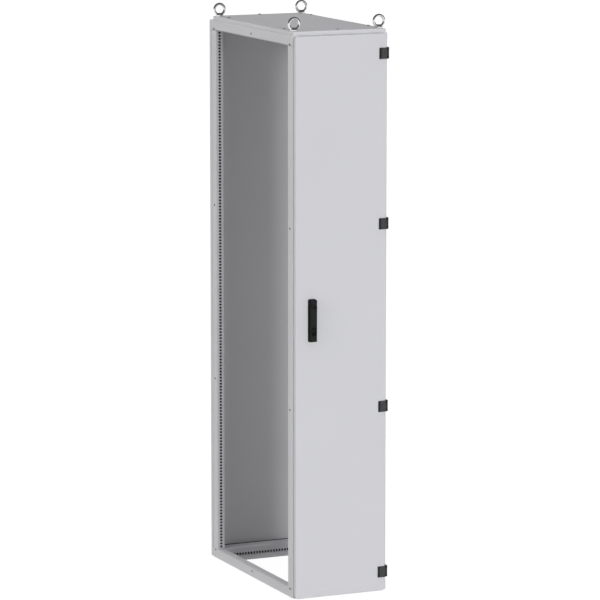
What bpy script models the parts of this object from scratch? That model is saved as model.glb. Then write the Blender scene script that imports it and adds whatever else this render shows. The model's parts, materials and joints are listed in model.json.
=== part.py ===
"""Floor-standing switchboard cabinet: open frame, roof, rear panel, lifting eyes and a locking door.

Every dimension is in metres.  +Z is up, the door faces -Y and is hung on the right, +X.
The origin is at the bottom centre of the whole cabinet, handle and rear panel included.
"""
import math

import bmesh
import bpy
from mathutils import Matrix, Vector

# ---------------------------------------------------------------- driving dimensions
GAP = 0.0003                    # between two pieces that touch
OVERCUT = 0.004                 # how far a cutter runs past the surface it opens

FRAME_WIDTH = 0.400
FRAME_DEPTH = 0.800
FRAME_HEIGHT = 2.200
PROFILE_WIDTH = 0.032           # posts and side rails, across the cabinet
PROFILE_DEPTH = 0.045           # posts and cross rails, front to back
RAIL_HEIGHT = 0.040
PROFILE_WALL = 0.002
FRONT_LIP = 0.012               # rim round the front opening that the door's seal closes on
REAR_LIP = 0.012                # the same rim at the back, for the rear panel's seal
FLOOR_FLANGE = 0.065            # flange at the foot of the front and rear base rails, inwards

SIDE_HOLE_RADIUS = 0.0034       # fixing holes in both side faces
SIDE_HOLE_INSET = 0.025         # from the front and rear faces
CORNER_HOLE_DROP = 0.0058       # from the edge of the side opening
MIDDLE_HOLE_DROP = 0.016
POST_HOLE_RISE = 0.745          # from the bottom and the top of the frame

ROOF_HEIGHT = 0.015
ROOF_INSET = 0.005
ROOF_WALL = 0.002
ROOF_EDGE_RADIUS = 0.002
ROOF_SCREW_RADIUS = 0.0027
ROOF_SCREW_HEAD_RADIUS = 0.0055
ROOF_SCREW_CROWN_RADIUS = 0.0038
ROOF_SCREW_HEAD_HEIGHT = 0.0035
ROOF_SCREW_FROM_END = 0.128     # side screws, from the front and rear faces

EYEBOLT_INSET_Y = 0.032         # from the front and rear faces
EYEBOLT_SHANK_RADIUS = 0.006
EYEBOLT_SHANK_LENGTH = 0.0305
EYEBOLT_COLLAR_RADIUS = 0.015
EYEBOLT_COLLAR_HEIGHT = 0.006
EYEBOLT_NECK_RADIUS = 0.008
EYEBOLT_NECK_HEIGHT = 0.009
EYEBOLT_NECK_ROUND = 0.001
EYEBOLT_NECK_TOP_RADIUS = 0.005
EYEBOLT_RING_RADIUS = 0.0215    # centre line of the ring
EYEBOLT_RING_WIRE = 0.0052
EYEBOLT_RING_RISE = 0.027       # centre of the ring above the roof
SLEEVE_RADIUS = 0.0085          # threaded sleeve that takes the eyebolt, inside the rail
SLEEVE_LENGTH = 0.022           # below the rail's top face

REAR_GAP = 0.003                # frame to the rear panel's folded edge
REAR_DEPTH = 0.022
REAR_WALL = 0.002
REAR_INSET = 0.001
SEAL_WIDTH = 0.012

DOOR_GAP = 0.004                # frame to the door's folded edge
DOOR_DEPTH = 0.020
DOOR_WALL = 0.002
DOOR_LATCH_INSET = 0.003        # from the frame's left face
DOOR_HINGE_INSET = 0.014        # from the frame's right face
DOOR_END_INSET = 0.002
DOOR_CORNER_RADIUS = 0.012
DOOR_EDGE_RADIUS = 0.0025

STIFFENER_WIDTH = 0.020
STIFFENER_DEPTH = 0.015
STIFFENER_WALL = 0.0015
STIFFENER_END_CLEARANCE = 0.040  # from the frame's opening
STIFFENER_INSET = 0.020          # hinge-side stiffener, from the frame's opening
STIFFENER_FROM_HANDLE = 0.060    # latch-side stiffener, centre line from the spindle's axis

HINGE_HEIGHT = 0.0435
HINGE_EAR = 0.011
HINGE_END_INSET = 0.078         # end hinges, from the bottom and the top of the frame
HINGE_MIDDLE_INSET = 0.740      # middle hinges, from the bottom and the top of the frame
KNUCKLE_RADIUS = 0.0068
HINGE_AXIS_DEPTH = 0.008        # behind the door's front face
HINGE_BASE_CLEARANCE = 0.0005   # swinging arm to the frame leaf behind it
HINGE_PLATE_WIDTH = 0.031
HINGE_PLATE_DEPTH = 0.005
HINGE_PLATE_CHAMFER = 0.0013
HINGE_ARM_OVERLAP = 0.010       # how far the arm reaches over the plate
HINGE_PIN_RADIUS = 0.0025
HINGE_PIN_HEAD_RADIUS = 0.004
HINGE_PIN_CROWN_RADIUS = 0.0032
HINGE_PIN_HEAD = 0.0015

HANDLE_FROM_OPENING = 0.038     # centre line, from the left edge of the frame's opening
HOUSING_WIDTH = 0.032
HOUSING_HEIGHT = 0.168
HOUSING_DEPTH = 0.008
HOUSING_CORNER_RADIUS = 0.006
LEVER_GAP = 0.0005
LEVER_MARGIN = 0.0025           # housing edge to lever edge
LEVER_DEPTH = 0.014
LEVER_EDGE_RADIUS = 0.002
HUB_HEIGHT = 0.019
HUB_EDGE_RADIUS = 0.0015
TONGUE_WIDTH = 0.010
TONGUE_RADIUS = 0.0045
PIVOT_PIN_RADIUS = 0.002
SPINDLE_SQUARE = 0.008
CYLINDER_RADIUS = 0.008
CYLINDER_DROP = 0.036           # below the middle of the handle
CYLINDER_PROUD = 0.0008
KEYWAY_WIDTH = 0.0024
KEYWAY_HEIGHT = 0.009
KEYWAY_DEPTH = 0.005

ROD_TRAVEL = 0.018              # per quarter turn of the handle
ROD_WIDTH = 0.010
ROD_THICKNESS = 0.003
ROD_CHAMFER = 0.0025
ROD_FROM_FRAME = 0.008          # rods' rear face, in front of the frame's front face
ROD_END_CLEARANCE = 0.003       # rod end to the frame's opening, locked
PINION_TEETH = 16
PINION_FACE = 0.007
TOOTH_FILL = 0.40               # tooth thickness as a share of the pitch
ADDENDUM = 0.8                  # in modules
DEDENDUM = 1.0
PRESSURE_ANGLE = 20             # degrees
RACK_ROOT_SLOPE = 1.0           # how much of that angle a tooth's root keeps
PINION_ROOT_SLOPE = 0.5
RACK_FOOT_TEETH = 2             # how far a rack runs past the spindle, in teeth
CASE_WALL = 0.0015
CASE_HEIGHT = 0.084
CASE_FROM_FRAME = 0.004         # case's rear face, in front of the frame's front face
CASE_SIDE_CLEARANCE = 0.002
GUIDE_HEIGHT = 0.020
GUIDE_WALL = 0.004
GUIDE_CLEARANCE = 0.0005
GUIDE_FROM_END = 0.240          # from the bottom and the top of the frame

EARTH_STUD_RADIUS = 0.004
EARTH_STUD_LENGTH = 0.020
EARTH_COLLAR_RADIUS = 0.008
EARTH_COLLAR_HEIGHT = 0.005
EARTH_STUD_INSET = 0.090        # from the frame's rear face

ROUND = 20                      # sides of a round piece
PIN_ROUND = 16                  # sides of the handle's pivot pin and its hole
SMALL_PIN_ROUND = 12            # sides of a hinge pin
DRILLED_ROUND = 10              # sides of a small hole
HALF_ROUND = 12                 # steps round half a circle
KNUCKLE_ROUND = 8               # the same on a hinge
RING_ROUND = 24                 # steps round a lifting ring
WIRE_ROUND = 8                  # sides of its wire
SHARP_ANGLE = 30                # degrees between faces that don't shade as one

# ---------------------------------------------------------------- worked-out places
FRONT_PROUD = (DOOR_GAP + DOOR_DEPTH + GAP + HOUSING_DEPTH + LEVER_GAP + LEVER_DEPTH
               + CYLINDER_PROUD)
REAR_PROUD = REAR_GAP + REAR_DEPTH
FRONT_Y = (FRONT_PROUD - REAR_PROUD - FRAME_DEPTH) / 2
BACK_Y = FRONT_Y + FRAME_DEPTH
SIDE_X = FRAME_WIDTH / 2
OPENING_X = SIDE_X - PROFILE_WIDTH
OPENING_BOTTOM = RAIL_HEIGHT
OPENING_TOP = FRAME_HEIGHT - RAIL_HEIGHT

ROOF_BOTTOM = FRAME_HEIGHT + GAP
ROOF_TOP = ROOF_BOTTOM + ROOF_HEIGHT
FIXING_X = OPENING_X + PROFILE_WALL + GAP + SLEEVE_RADIUS   # line of eyebolts and roof screws

DOOR_BACK_Y = FRONT_Y - DOOR_GAP
DOOR_FRONT_Y = DOOR_BACK_Y - DOOR_DEPTH
DOOR_SKIN_Y = DOOR_FRONT_Y + DOOR_WALL
DOOR_LEFT_X = -SIDE_X + DOOR_LATCH_INSET
DOOR_RIGHT_X = SIDE_X - DOOR_HINGE_INSET
DOOR_BOTTOM = DOOR_END_INSET
DOOR_TOP = FRAME_HEIGHT - DOOR_END_INSET

HINGE_X = DOOR_RIGHT_X + GAP + KNUCKLE_RADIUS
HINGE_Y = DOOR_FRONT_Y + HINGE_AXIS_DEPTH
HINGE_ARM_SWING = math.hypot(KNUCKLE_RADIUS / 2, HINGE_AXIS_DEPTH)   # of the arm's outer corner
HINGE_HEIGHTS = (HINGE_END_INSET, HINGE_MIDDLE_INSET,
                 FRAME_HEIGHT - HINGE_MIDDLE_INSET, FRAME_HEIGHT - HINGE_END_INSET)

HANDLE_X = -OPENING_X + HANDLE_FROM_OPENING
HANDLE_Z = FRAME_HEIGHT / 2
HOUSING_TOP = HANDLE_Z + HOUSING_HEIGHT / 2
HOUSING_BOTTOM = HANDLE_Z - HOUSING_HEIGHT / 2
HOUSING_FRONT_Y = DOOR_FRONT_Y - GAP - HOUSING_DEPTH
LEVER_BACK_Y = HOUSING_FRONT_Y - LEVER_GAP
LEVER_FRONT_Y = LEVER_BACK_Y - LEVER_DEPTH
LEVER_HALF_WIDTH = HOUSING_WIDTH / 2 - LEVER_MARGIN
HUB_TOP = HOUSING_TOP - LEVER_MARGIN
HUB_BOTTOM = HUB_TOP - HUB_HEIGHT
SPINDLE_Z = (HUB_TOP + HUB_BOTTOM) / 2
PIVOT_Y = (LEVER_BACK_Y + LEVER_FRONT_Y) / 2
PIVOT_Z = HUB_BOTTOM - 2 * LEVER_GAP - LEVER_DEPTH / 2
CYLINDER_Z = HANDLE_Z - CYLINDER_DROP

PITCH_RADIUS = ROD_TRAVEL / (math.pi / 2)
TOOTH_MODULE = 2 * PITCH_RADIUS / PINION_TEETH
TOOTH_PITCH = math.pi * TOOTH_MODULE
ROD_BACK_Y = FRONT_Y - ROD_FROM_FRAME
ROD_FRONT_Y = ROD_BACK_Y - ROD_THICKNESS
ROD_INNER = PITCH_RADIUS + DEDENDUM * TOOTH_MODULE
ROD_OUTER = ROD_INNER + ROD_WIDTH
CASE_BACK_Y = FRONT_Y - CASE_FROM_FRAME
CASE_FRONT_Y = DOOR_SKIN_Y + GAP
SPINDLE_HOLE_RADIUS = SPINDLE_SQUARE / math.sqrt(2) + GAP

SLEEVE_TOP = ROOF_TOP - ROOF_WALL - GAP
SLEEVE_FLANGE_RADIUS = SIDE_X - FIXING_X - ROOF_INSET - ROOF_WALL - GAP

# Empties that stand on the joint axes, each with the empty that carries it.
AXES = {
    "door_axis": ((HINGE_X, HINGE_Y, 0), None),
    "spindle_axis": ((HANDLE_X, LEVER_BACK_Y, SPINDLE_Z), "door_axis"),
    "pivot_axis": ((HANDLE_X, PIVOT_Y, PIVOT_Z), "spindle_axis"),
    "cylinder_axis": ((HANDLE_X, LEVER_BACK_Y, CYLINDER_Z), "pivot_axis"),
    "rod_upper_axis": ((HANDLE_X - ROD_INNER, ROD_BACK_Y, SPINDLE_Z), "door_axis"),
    "rod_lower_axis": ((HANDLE_X + ROD_INNER, ROD_BACK_Y, SPINDLE_Z), "door_axis"),
}


# ---------------------------------------------------------------- scene and materials
def clear_scene():
    for item in list(bpy.data.objects):
        bpy.data.objects.remove(item, do_unlink=True)


def make_material(name, colour, roughness, metallic):
    material = bpy.data.materials.new(name)
    material.use_nodes = True
    shader = material.node_tree.nodes["Principled BSDF"]
    shader.inputs["Base Color"].default_value = (*colour, 1.0)
    shader.inputs["Roughness"].default_value = roughness
    shader.inputs["Metallic"].default_value = metallic
    return material


def make_materials():
    return {
        "powder_coat": make_material("powder_coat", (0.60, 0.60, 0.61), 0.45, 0.0),
        "zinc_plate": make_material("zinc_plate", (0.62, 0.62, 0.60), 0.35, 1.0),
        "bright_steel": make_material("bright_steel", (0.75, 0.75, 0.75), 0.12, 1.0),
        "black_die_cast": make_material("black_die_cast", (0.025, 0.025, 0.027), 0.40, 0.0),
        "seal_foam": make_material("seal_foam", (0.09, 0.09, 0.09), 0.85, 0.0),
        "brass": make_material("brass", (0.70, 0.52, 0.24), 0.30, 1.0),
    }


def make_axes():
    empties = {}
    for name, (place, carrier) in AXES.items():
        empty = bpy.data.objects.new(name, None)
        bpy.context.collection.objects.link(empty)
        empty.location = place
        if carrier:
            empty.parent = empties[carrier]
            empty.location = Vector(place) - Vector(AXES[carrier][0])
        empties[name] = empty
    return empties


def make_object(name, shape, material, place=(0, 0, 0), axis=None):
    """Turns a bmesh in world coordinates into an object with its origin at place, or on an axis."""
    if axis:
        place = AXES[axis][0]
    bmesh.ops.translate(shape, verts=shape.verts, vec=-Vector(place))
    bmesh.ops.recalc_face_normals(shape, faces=shape.faces)
    mesh = bpy.data.meshes.new(name)
    shape.to_mesh(mesh)
    shape.free()
    mesh.materials.append(material)
    mesh.shade_smooth()
    mesh.set_sharp_from_angle(angle=math.radians(SHARP_ANGLE))
    item = bpy.data.objects.new(name, mesh)
    bpy.context.collection.objects.link(item)
    if axis:
        item.parent = EMPTIES[axis]
    else:
        item.location = place
    return item


def combine(item, operation, shape):
    """Adds a Boolean modifier whose other solid is a hidden guide carried by the item."""
    guide = make_object(item.name + "_" + operation.lower(), shape, item.data.materials[0])
    guide.hide_render = True
    guide.display_type = "WIRE"
    modifier = item.modifiers.new(operation.title(), "BOOLEAN")
    modifier.operation = operation
    modifier.object = guide


def cut(item, *shapes):
    for shape in shapes:
        combine(item, "DIFFERENCE", shape)


def fuse(item, shape):
    combine(item, "UNION", shape)


# ---------------------------------------------------------------- solids
def block(x_range, y_range, z_range):
    corners = [(x_range[0], y_range[0]), (x_range[1], y_range[0]),
               (x_range[1], y_range[1]), (x_range[0], y_range[1])]
    return prism(corners, "Z", z_range)


def prism(outline, axis, span):
    """Extrudes a 2D outline along an axis; the outline's plane is XY, XZ or YZ, in that order."""
    place = {
        "Z": lambda a, b, s: (a, b, s),
        "Y": lambda a, b, s: (a, s, b),
        "X": lambda a, b, s: (s, a, b),
    }[axis]
    shape = bmesh.new()
    loops = [[shape.verts.new(place(a, b, s)) for a, b in outline] for s in span]
    shape.faces.new(loops[0])
    shape.faces.new(loops[1])
    count = len(outline)
    for i in range(count):
        j = (i + 1) % count
        shape.faces.new((loops[0][i], loops[0][j], loops[1][j], loops[1][i]))
    bmesh.ops.recalc_face_normals(shape, faces=shape.faces)
    return shape


def arc(centre, radius, start, end, steps):
    """Points on an arc, angles in degrees."""
    angles = [math.radians(start + (end - start) * i / steps) for i in range(steps + 1)]
    return [(centre[0] + radius * math.cos(a), centre[1] + radius * math.sin(a)) for a in angles]


def round_bar(axis, centre, radius, span, sides=ROUND):
    return prism(arc(centre, radius, 0, 360, sides)[:-1], axis, span)


def rounded_rectangle(x_range, z_range, radius, steps=4):
    corners = ((x_range[1], z_range[1], 0), (x_range[0], z_range[1], 90),
               (x_range[0], z_range[0], 180), (x_range[1], z_range[0], 270))
    outline = []
    for x, z, start in corners:
        inward_x = -radius if x == x_range[1] else radius
        inward_z = -radius if z == z_range[1] else radius
        outline += arc((x + inward_x, z + inward_z), radius, start, start + 90, steps)
    return outline


def turned(profile, centre, sides=ROUND):
    """Turns a profile of (radius, height) points about the vertical through centre."""
    shape = bmesh.new()
    rings = []
    for radius, height in profile:
        z = centre[2] + height
        if radius == 0:
            rings.append([shape.verts.new((centre[0], centre[1], z))])
            continue
        rings.append([shape.verts.new((x, y, z))
                      for x, y in arc(centre[:2], radius, 0, 360, sides)[:-1]])
    for low, high in zip(rings, rings[1:]):
        for i in range(sides):
            j = (i + 1) % sides
            if len(low) == 1:
                shape.faces.new((low[0], high[i], high[j]))
            elif len(high) == 1:
                shape.faces.new((low[i], low[j], high[0]))
            else:
                shape.faces.new((low[i], low[j], high[j], high[i]))
    return shape


def ring(centre, radius, wire, sides, wire_sides):
    """A ring of round wire standing in the XZ plane."""
    shape = bmesh.new()
    circles = []
    for i in range(sides):
        turn = 2 * math.pi * i / sides
        circle = []
        for out, along in arc((radius, 0), wire, 0, 360, wire_sides)[:-1]:
            circle.append(shape.verts.new((centre[0] + out * math.cos(turn), centre[1] + along,
                                           centre[2] + out * math.sin(turn))))
        circles.append(circle)
    for i in range(sides):
        this, following = circles[i], circles[(i + 1) % sides]
        for j in range(wire_sides):
            k = (j + 1) % wire_sides
            shape.faces.new((this[j], this[k], following[k], following[j]))
    return shape


def soften(shape, radius, wanted, segments=2):
    """Rounds the edges that the wanted function picks by their two ends."""
    edges = [edge for edge in shape.edges if wanted(edge.verts[0].co, edge.verts[1].co)]
    bmesh.ops.bevel(shape, geom=edges, offset=radius, offset_type="OFFSET",
                    segments=segments, profile=0.5, affect="EDGES")
    return shape


def on_plane(axis, value):
    """Picks the edges that lie in a plane square to an axis."""
    def wanted(start, end):
        return abs(start[axis] - value) < 1e-6 and abs(end[axis] - value) < 1e-6
    return wanted


def between(low, high, wall=0.0):
    return (low + wall, high - wall)


# ---------------------------------------------------------------- frame
def side_rail(side, level):
    """A box-section rail along the depth; side is -1 or 1, level is base or top."""
    x_range = sorted((side * SIDE_X, side * OPENING_X))
    base = level == "base"
    z_range = (0, RAIL_HEIGHT) if base else (OPENING_TOP, FRAME_HEIGHT)
    name = "{}_rail_{}".format(level, "left" if side < 0 else "right")
    rail = make_object(name, block(x_range, (FRONT_Y, BACK_Y), z_range), FINISH["powder_coat"],
                       (side * SIDE_X, FRONT_Y, z_range[0]))
    cut(rail, block(between(*x_range, PROFILE_WALL), between(FRONT_Y, BACK_Y, -OVERCUT),
                    between(*z_range, PROFILE_WALL)))
    for y, drop in ((FRONT_Y + SIDE_HOLE_INSET, CORNER_HOLE_DROP),
                    ((FRONT_Y + BACK_Y) / 2, MIDDLE_HOLE_DROP),
                    (BACK_Y - SIDE_HOLE_INSET, CORNER_HOLE_DROP)):
        cut(rail, side_hole(side, y, OPENING_BOTTOM - drop if base else OPENING_TOP + drop))
    if not base:
        for y in (FRONT_Y + EYEBOLT_INSET_Y, BACK_Y - EYEBOLT_INSET_Y):
            cut(rail, round_bar("Z", (side * FIXING_X, y), SLEEVE_RADIUS + GAP,
                                (FRAME_HEIGHT - PROFILE_WALL - OVERCUT, FRAME_HEIGHT + OVERCUT)))
        for x, y in roof_screw_places():
            if x * side > 0:
                cut(rail, roof_screw_hole(x, y))


def side_hole(side, y, z):
    """The drill for one fixing hole: it opens the outer wall only."""
    span = sorted((side * (SIDE_X + OVERCUT), side * (SIDE_X - PROFILE_WALL - OVERCUT)))
    return round_bar("X", (y, z), SIDE_HOLE_RADIUS, span, DRILLED_ROUND)


def cross_rail(end, level):
    """A box-section rail across the cabinet, with the rim that a seal closes on.

    A base rail also has a flange that lies on the floor, inside the cabinet.
    """
    base = level == "base"
    z_range = (0, RAIL_HEIGHT) if base else (OPENING_TOP, FRAME_HEIGHT)
    rim_z = OPENING_BOTTOM if base else OPENING_TOP
    inner_z = rim_z - PROFILE_WALL if base else rim_z + PROFILE_WALL
    outer_z = 0 if base else FRAME_HEIGHT
    face, forward, lip = (FRONT_Y, -1, FRONT_LIP) if end == "front" else (BACK_Y, 1, REAR_LIP)
    inside = face - forward * PROFILE_DEPTH
    outline = [(inside, outer_z), (face, outer_z), (face, inner_z), (face + forward * lip, inner_z),
               (face + forward * lip, rim_z), (inside, rim_z)]
    if base:
        flange_end = inside - forward * FLOOR_FLANGE
        outline += [(inside, PROFILE_WALL), (flange_end, PROFILE_WALL), (flange_end, outer_z)]
    x_range = between(-OPENING_X, OPENING_X, GAP)
    rail = make_object("{}_rail_{}".format(level, end), prism(outline, "X", x_range),
                       FINISH["powder_coat"], (0, face, z_range[0]))
    cut(rail, block(between(*x_range, -OVERCUT), between(*sorted((face, inside)), PROFILE_WALL),
                    between(*z_range, PROFILE_WALL)))
    if not base:
        for x, y in roof_screw_places():
            if x == 0 and (y < 0) == (end == "front"):
                cut(rail, roof_screw_hole(x, y))


def post(side, end):
    """A box-section corner post, with the rim that a seal closes on."""
    face, forward, lip = (FRONT_Y, -1, FRONT_LIP) if end == "front" else (BACK_Y, 1, REAR_LIP)
    inside = face - forward * PROFILE_DEPTH
    rim_x = side * OPENING_X
    rim_back = side * (OPENING_X + PROFILE_WALL)
    outer_x = side * SIDE_X
    outline = [(outer_x, inside), (outer_x, face), (rim_back, face), (rim_back, face + forward * lip),
               (rim_x, face + forward * lip), (rim_x, inside)]
    z_range = between(OPENING_BOTTOM, OPENING_TOP, GAP)
    name = "post_{}_{}".format(end, "left" if side < 0 else "right")
    upright = make_object(name, prism(outline, "Z", z_range), FINISH["powder_coat"],
                          (outer_x, face, z_range[0]))
    cut(upright, block(between(*sorted((outer_x, rim_x)), PROFILE_WALL),
                       between(*sorted((face, inside)), PROFILE_WALL),
                       between(*z_range, -OVERCUT)))
    for z in (POST_HOLE_RISE, FRAME_HEIGHT - POST_HOLE_RISE):
        cut(upright, side_hole(side, face - forward * SIDE_HOLE_INSET, z))


def make_frame():
    for level in ("base", "top"):
        for side in (-1, 1):
            side_rail(side, level)
        for end in ("front", "rear"):
            cross_rail(end, level)
    for side in (-1, 1):
        for end in ("front", "rear"):
            post(side, end)


def earth_stud():
    place = (OPENING_X + PROFILE_WIDTH / 2, BACK_Y - EARTH_STUD_INSET, OPENING_BOTTOM + GAP)
    profile = [(0, 0), (EARTH_COLLAR_RADIUS, 0), (EARTH_COLLAR_RADIUS, EARTH_COLLAR_HEIGHT),
               (EARTH_STUD_RADIUS, EARTH_COLLAR_HEIGHT), (EARTH_STUD_RADIUS, EARTH_STUD_LENGTH),
               (0, EARTH_STUD_LENGTH)]
    make_object("earth_stud", turned(profile, place), FINISH["brass"], place)


# ---------------------------------------------------------------- roof and lifting eyes
def roof_screw_places():
    ends = (FRONT_Y + ROOF_SCREW_FROM_END, BACK_Y - ROOF_SCREW_FROM_END)
    places = [(x, y) for x in (-FIXING_X, FIXING_X) for y in ends]
    middles = (FRONT_Y + PROFILE_DEPTH / 2, BACK_Y - PROFILE_DEPTH / 2)
    return places + [(0, y) for y in middles]


def roof_screw_hole(x, y):
    return round_bar("Z", (x, y), ROOF_SCREW_RADIUS + GAP,
                     (FRAME_HEIGHT - PROFILE_WALL - OVERCUT, ROOF_TOP + OVERCUT), DRILLED_ROUND)


def eyebolt_places():
    return {"{}_{}".format(end, hand): (side * FIXING_X, y)
            for end, y in (("front", FRONT_Y + EYEBOLT_INSET_Y), ("rear", BACK_Y - EYEBOLT_INSET_Y))
            for hand, side in (("left", -1), ("right", 1))}


def roof_panel():
    """A folded tray, open below, drilled for its screws and the lifting eyes."""
    x_range = between(-SIDE_X, SIDE_X, ROOF_INSET)
    y_range = (FRONT_Y, BACK_Y - ROOF_INSET)
    shape = block(x_range, y_range, (ROOF_BOTTOM, ROOF_TOP))
    soften(shape, ROOF_EDGE_RADIUS, on_plane(2, ROOF_TOP))
    roof = make_object("roof_panel", shape, FINISH["powder_coat"], (0, FRONT_Y, ROOF_BOTTOM))
    cut(roof, block(between(*x_range, ROOF_WALL), between(*y_range, ROOF_WALL),
                    (ROOF_BOTTOM - OVERCUT, ROOF_TOP - ROOF_WALL)))
    for x, y in eyebolt_places().values():
        cut(roof, round_bar("Z", (x, y), EYEBOLT_SHANK_RADIUS + GAP,
                            (ROOF_TOP - ROOF_WALL - OVERCUT, ROOF_TOP + OVERCUT)))
    for x, y in roof_screw_places():
        cut(roof, round_bar("Z", (x, y), ROOF_SCREW_RADIUS + GAP,
                            (ROOF_TOP - ROOF_WALL - OVERCUT, ROOF_TOP + OVERCUT),
                            DRILLED_ROUND))


def roof_screws():
    """Pan-head screws that reach through the roof into the top rails."""
    bottom = -(ROOF_HEIGHT + 2 * PROFILE_WALL)
    profile = [(0, bottom), (ROOF_SCREW_RADIUS, bottom), (ROOF_SCREW_RADIUS, GAP),
               (ROOF_SCREW_HEAD_RADIUS, GAP),
               (ROOF_SCREW_HEAD_RADIUS, ROOF_SCREW_HEAD_HEIGHT / 2),
               (ROOF_SCREW_CROWN_RADIUS, ROOF_SCREW_HEAD_HEIGHT),
               (0, ROOF_SCREW_HEAD_HEIGHT)]
    for number, (x, y) in enumerate(roof_screw_places(), 1):
        place = (x, y, ROOF_TOP)
        make_object("roof_screw_{}".format(number), turned(profile, place, DRILLED_ROUND),
                    FINISH["zinc_plate"], place)


def lifting_sleeve(name, x, y):
    """Flanged threaded sleeve: it stands on the rail, under the roof, and takes the eyebolt."""
    seat = FRAME_HEIGHT + GAP - SLEEVE_TOP
    foot = seat - GAP - SLEEVE_LENGTH
    bore = EYEBOLT_SHANK_RADIUS + GAP
    profile = [(bore, foot), (SLEEVE_RADIUS, foot), (SLEEVE_RADIUS, seat),
               (SLEEVE_FLANGE_RADIUS, seat), (SLEEVE_FLANGE_RADIUS, 0), (bore, 0), (bore, foot)]
    place = (x, y, SLEEVE_TOP)
    shape = turned(profile, place)
    bmesh.ops.remove_doubles(shape, verts=shape.verts, dist=1e-6)
    make_object("lifting_sleeve_" + name, shape, FINISH["zinc_plate"], place)


def eyebolt(name, x, y):
    """A collar eyebolt; the ring stands across the cabinet."""
    place = (x, y, ROOF_TOP + GAP)
    profile = [(0, -EYEBOLT_SHANK_LENGTH), (EYEBOLT_SHANK_RADIUS, -EYEBOLT_SHANK_LENGTH),
               (EYEBOLT_SHANK_RADIUS, 0), (EYEBOLT_COLLAR_RADIUS, 0),
               (EYEBOLT_COLLAR_RADIUS, EYEBOLT_COLLAR_HEIGHT),
               (EYEBOLT_NECK_RADIUS, EYEBOLT_NECK_HEIGHT - EYEBOLT_NECK_ROUND),
               (EYEBOLT_NECK_TOP_RADIUS, EYEBOLT_NECK_HEIGHT),
               (0, EYEBOLT_NECK_HEIGHT)]
    bolt = make_object("eyebolt_" + name, turned(profile, place), FINISH["bright_steel"], place)
    centre = (x, y, place[2] + EYEBOLT_RING_RISE)
    fuse(bolt, ring(centre, EYEBOLT_RING_RADIUS, EYEBOLT_RING_WIRE, RING_ROUND, WIRE_ROUND))


def make_roof():
    roof_panel()
    roof_screws()
    for name, (x, y) in eyebolt_places().items():
        lifting_sleeve(name, x, y)
        eyebolt(name, x, y)


# ---------------------------------------------------------------- rear panel and seals
def seal(name, y_range, axis=None):
    """A foamed seal that runs once round the frame's rim."""
    middle = PROFILE_WALL / 2
    x = OPENING_X + middle
    z_range = (OPENING_BOTTOM - middle, OPENING_TOP + middle)
    half = SEAL_WIDTH / 2
    strip = make_object(name, block((-x - half, x + half), y_range, between(*z_range, -half)),
                        FINISH["seal_foam"], (0, y_range[0], HANDLE_Z), axis)
    cut(strip, block((-x + half, x - half), between(*y_range, -OVERCUT), between(*z_range, half)))


def rear_panel():
    """A folded tray that closes the back, its hollow side towards the frame."""
    x_range = between(-SIDE_X, SIDE_X, REAR_INSET)
    y_range = (BACK_Y + REAR_GAP, BACK_Y + REAR_GAP + REAR_DEPTH)
    z_range = between(0, FRAME_HEIGHT, REAR_INSET)
    shape = block(x_range, y_range, z_range)
    soften(shape, DOOR_EDGE_RADIUS, on_plane(1, y_range[1]))
    panel = make_object("rear_panel", shape, FINISH["powder_coat"], (0, BACK_Y, z_range[0]))
    cut(panel, block(between(*x_range, REAR_WALL), (y_range[0] - OVERCUT, y_range[1] - REAR_WALL),
                     between(*z_range, REAR_WALL)))
    seal("rear_seal", (BACK_Y + REAR_LIP + GAP, y_range[1] - REAR_WALL - GAP))


# ---------------------------------------------------------------- hinges
def knuckle_outline(front):
    """Half a circle round the pin, open towards the back when front is True, else forwards."""
    start = 180 if front else 0
    return arc((HINGE_X, HINGE_Y), KNUCKLE_RADIUS, start, start + 180, KNUCKLE_ROUND)


def hinge_frame_leaf(name, z):
    """A block on the post's front face, notched so that the door leaf's arm can swing in it."""
    back = FRONT_Y - GAP
    outline = knuckle_outline(True) + [(HINGE_X + KNUCKLE_RADIUS, back),
                                       (HINGE_X - KNUCKLE_RADIUS, back)]
    z_range = (z - HINGE_HEIGHT / 2, z + HINGE_HEIGHT / 2)
    leaf = make_object("hinge_frame_leaf_" + name, prism(outline, "Z", z_range),
                       FINISH["black_die_cast"], (HINGE_X, HINGE_Y, z))
    cut(leaf,
        block(between(HINGE_X - KNUCKLE_RADIUS, HINGE_X + KNUCKLE_RADIUS, -OVERCUT),
              (HINGE_Y - KNUCKLE_RADIUS - OVERCUT,
               HINGE_Y + HINGE_ARM_SWING + HINGE_BASE_CLEARANCE),
              between(*z_range, HINGE_EAR)),
        round_bar("Z", (HINGE_X, HINGE_Y), HINGE_PIN_RADIUS + GAP, between(*z_range, -OVERCUT)))


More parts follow.
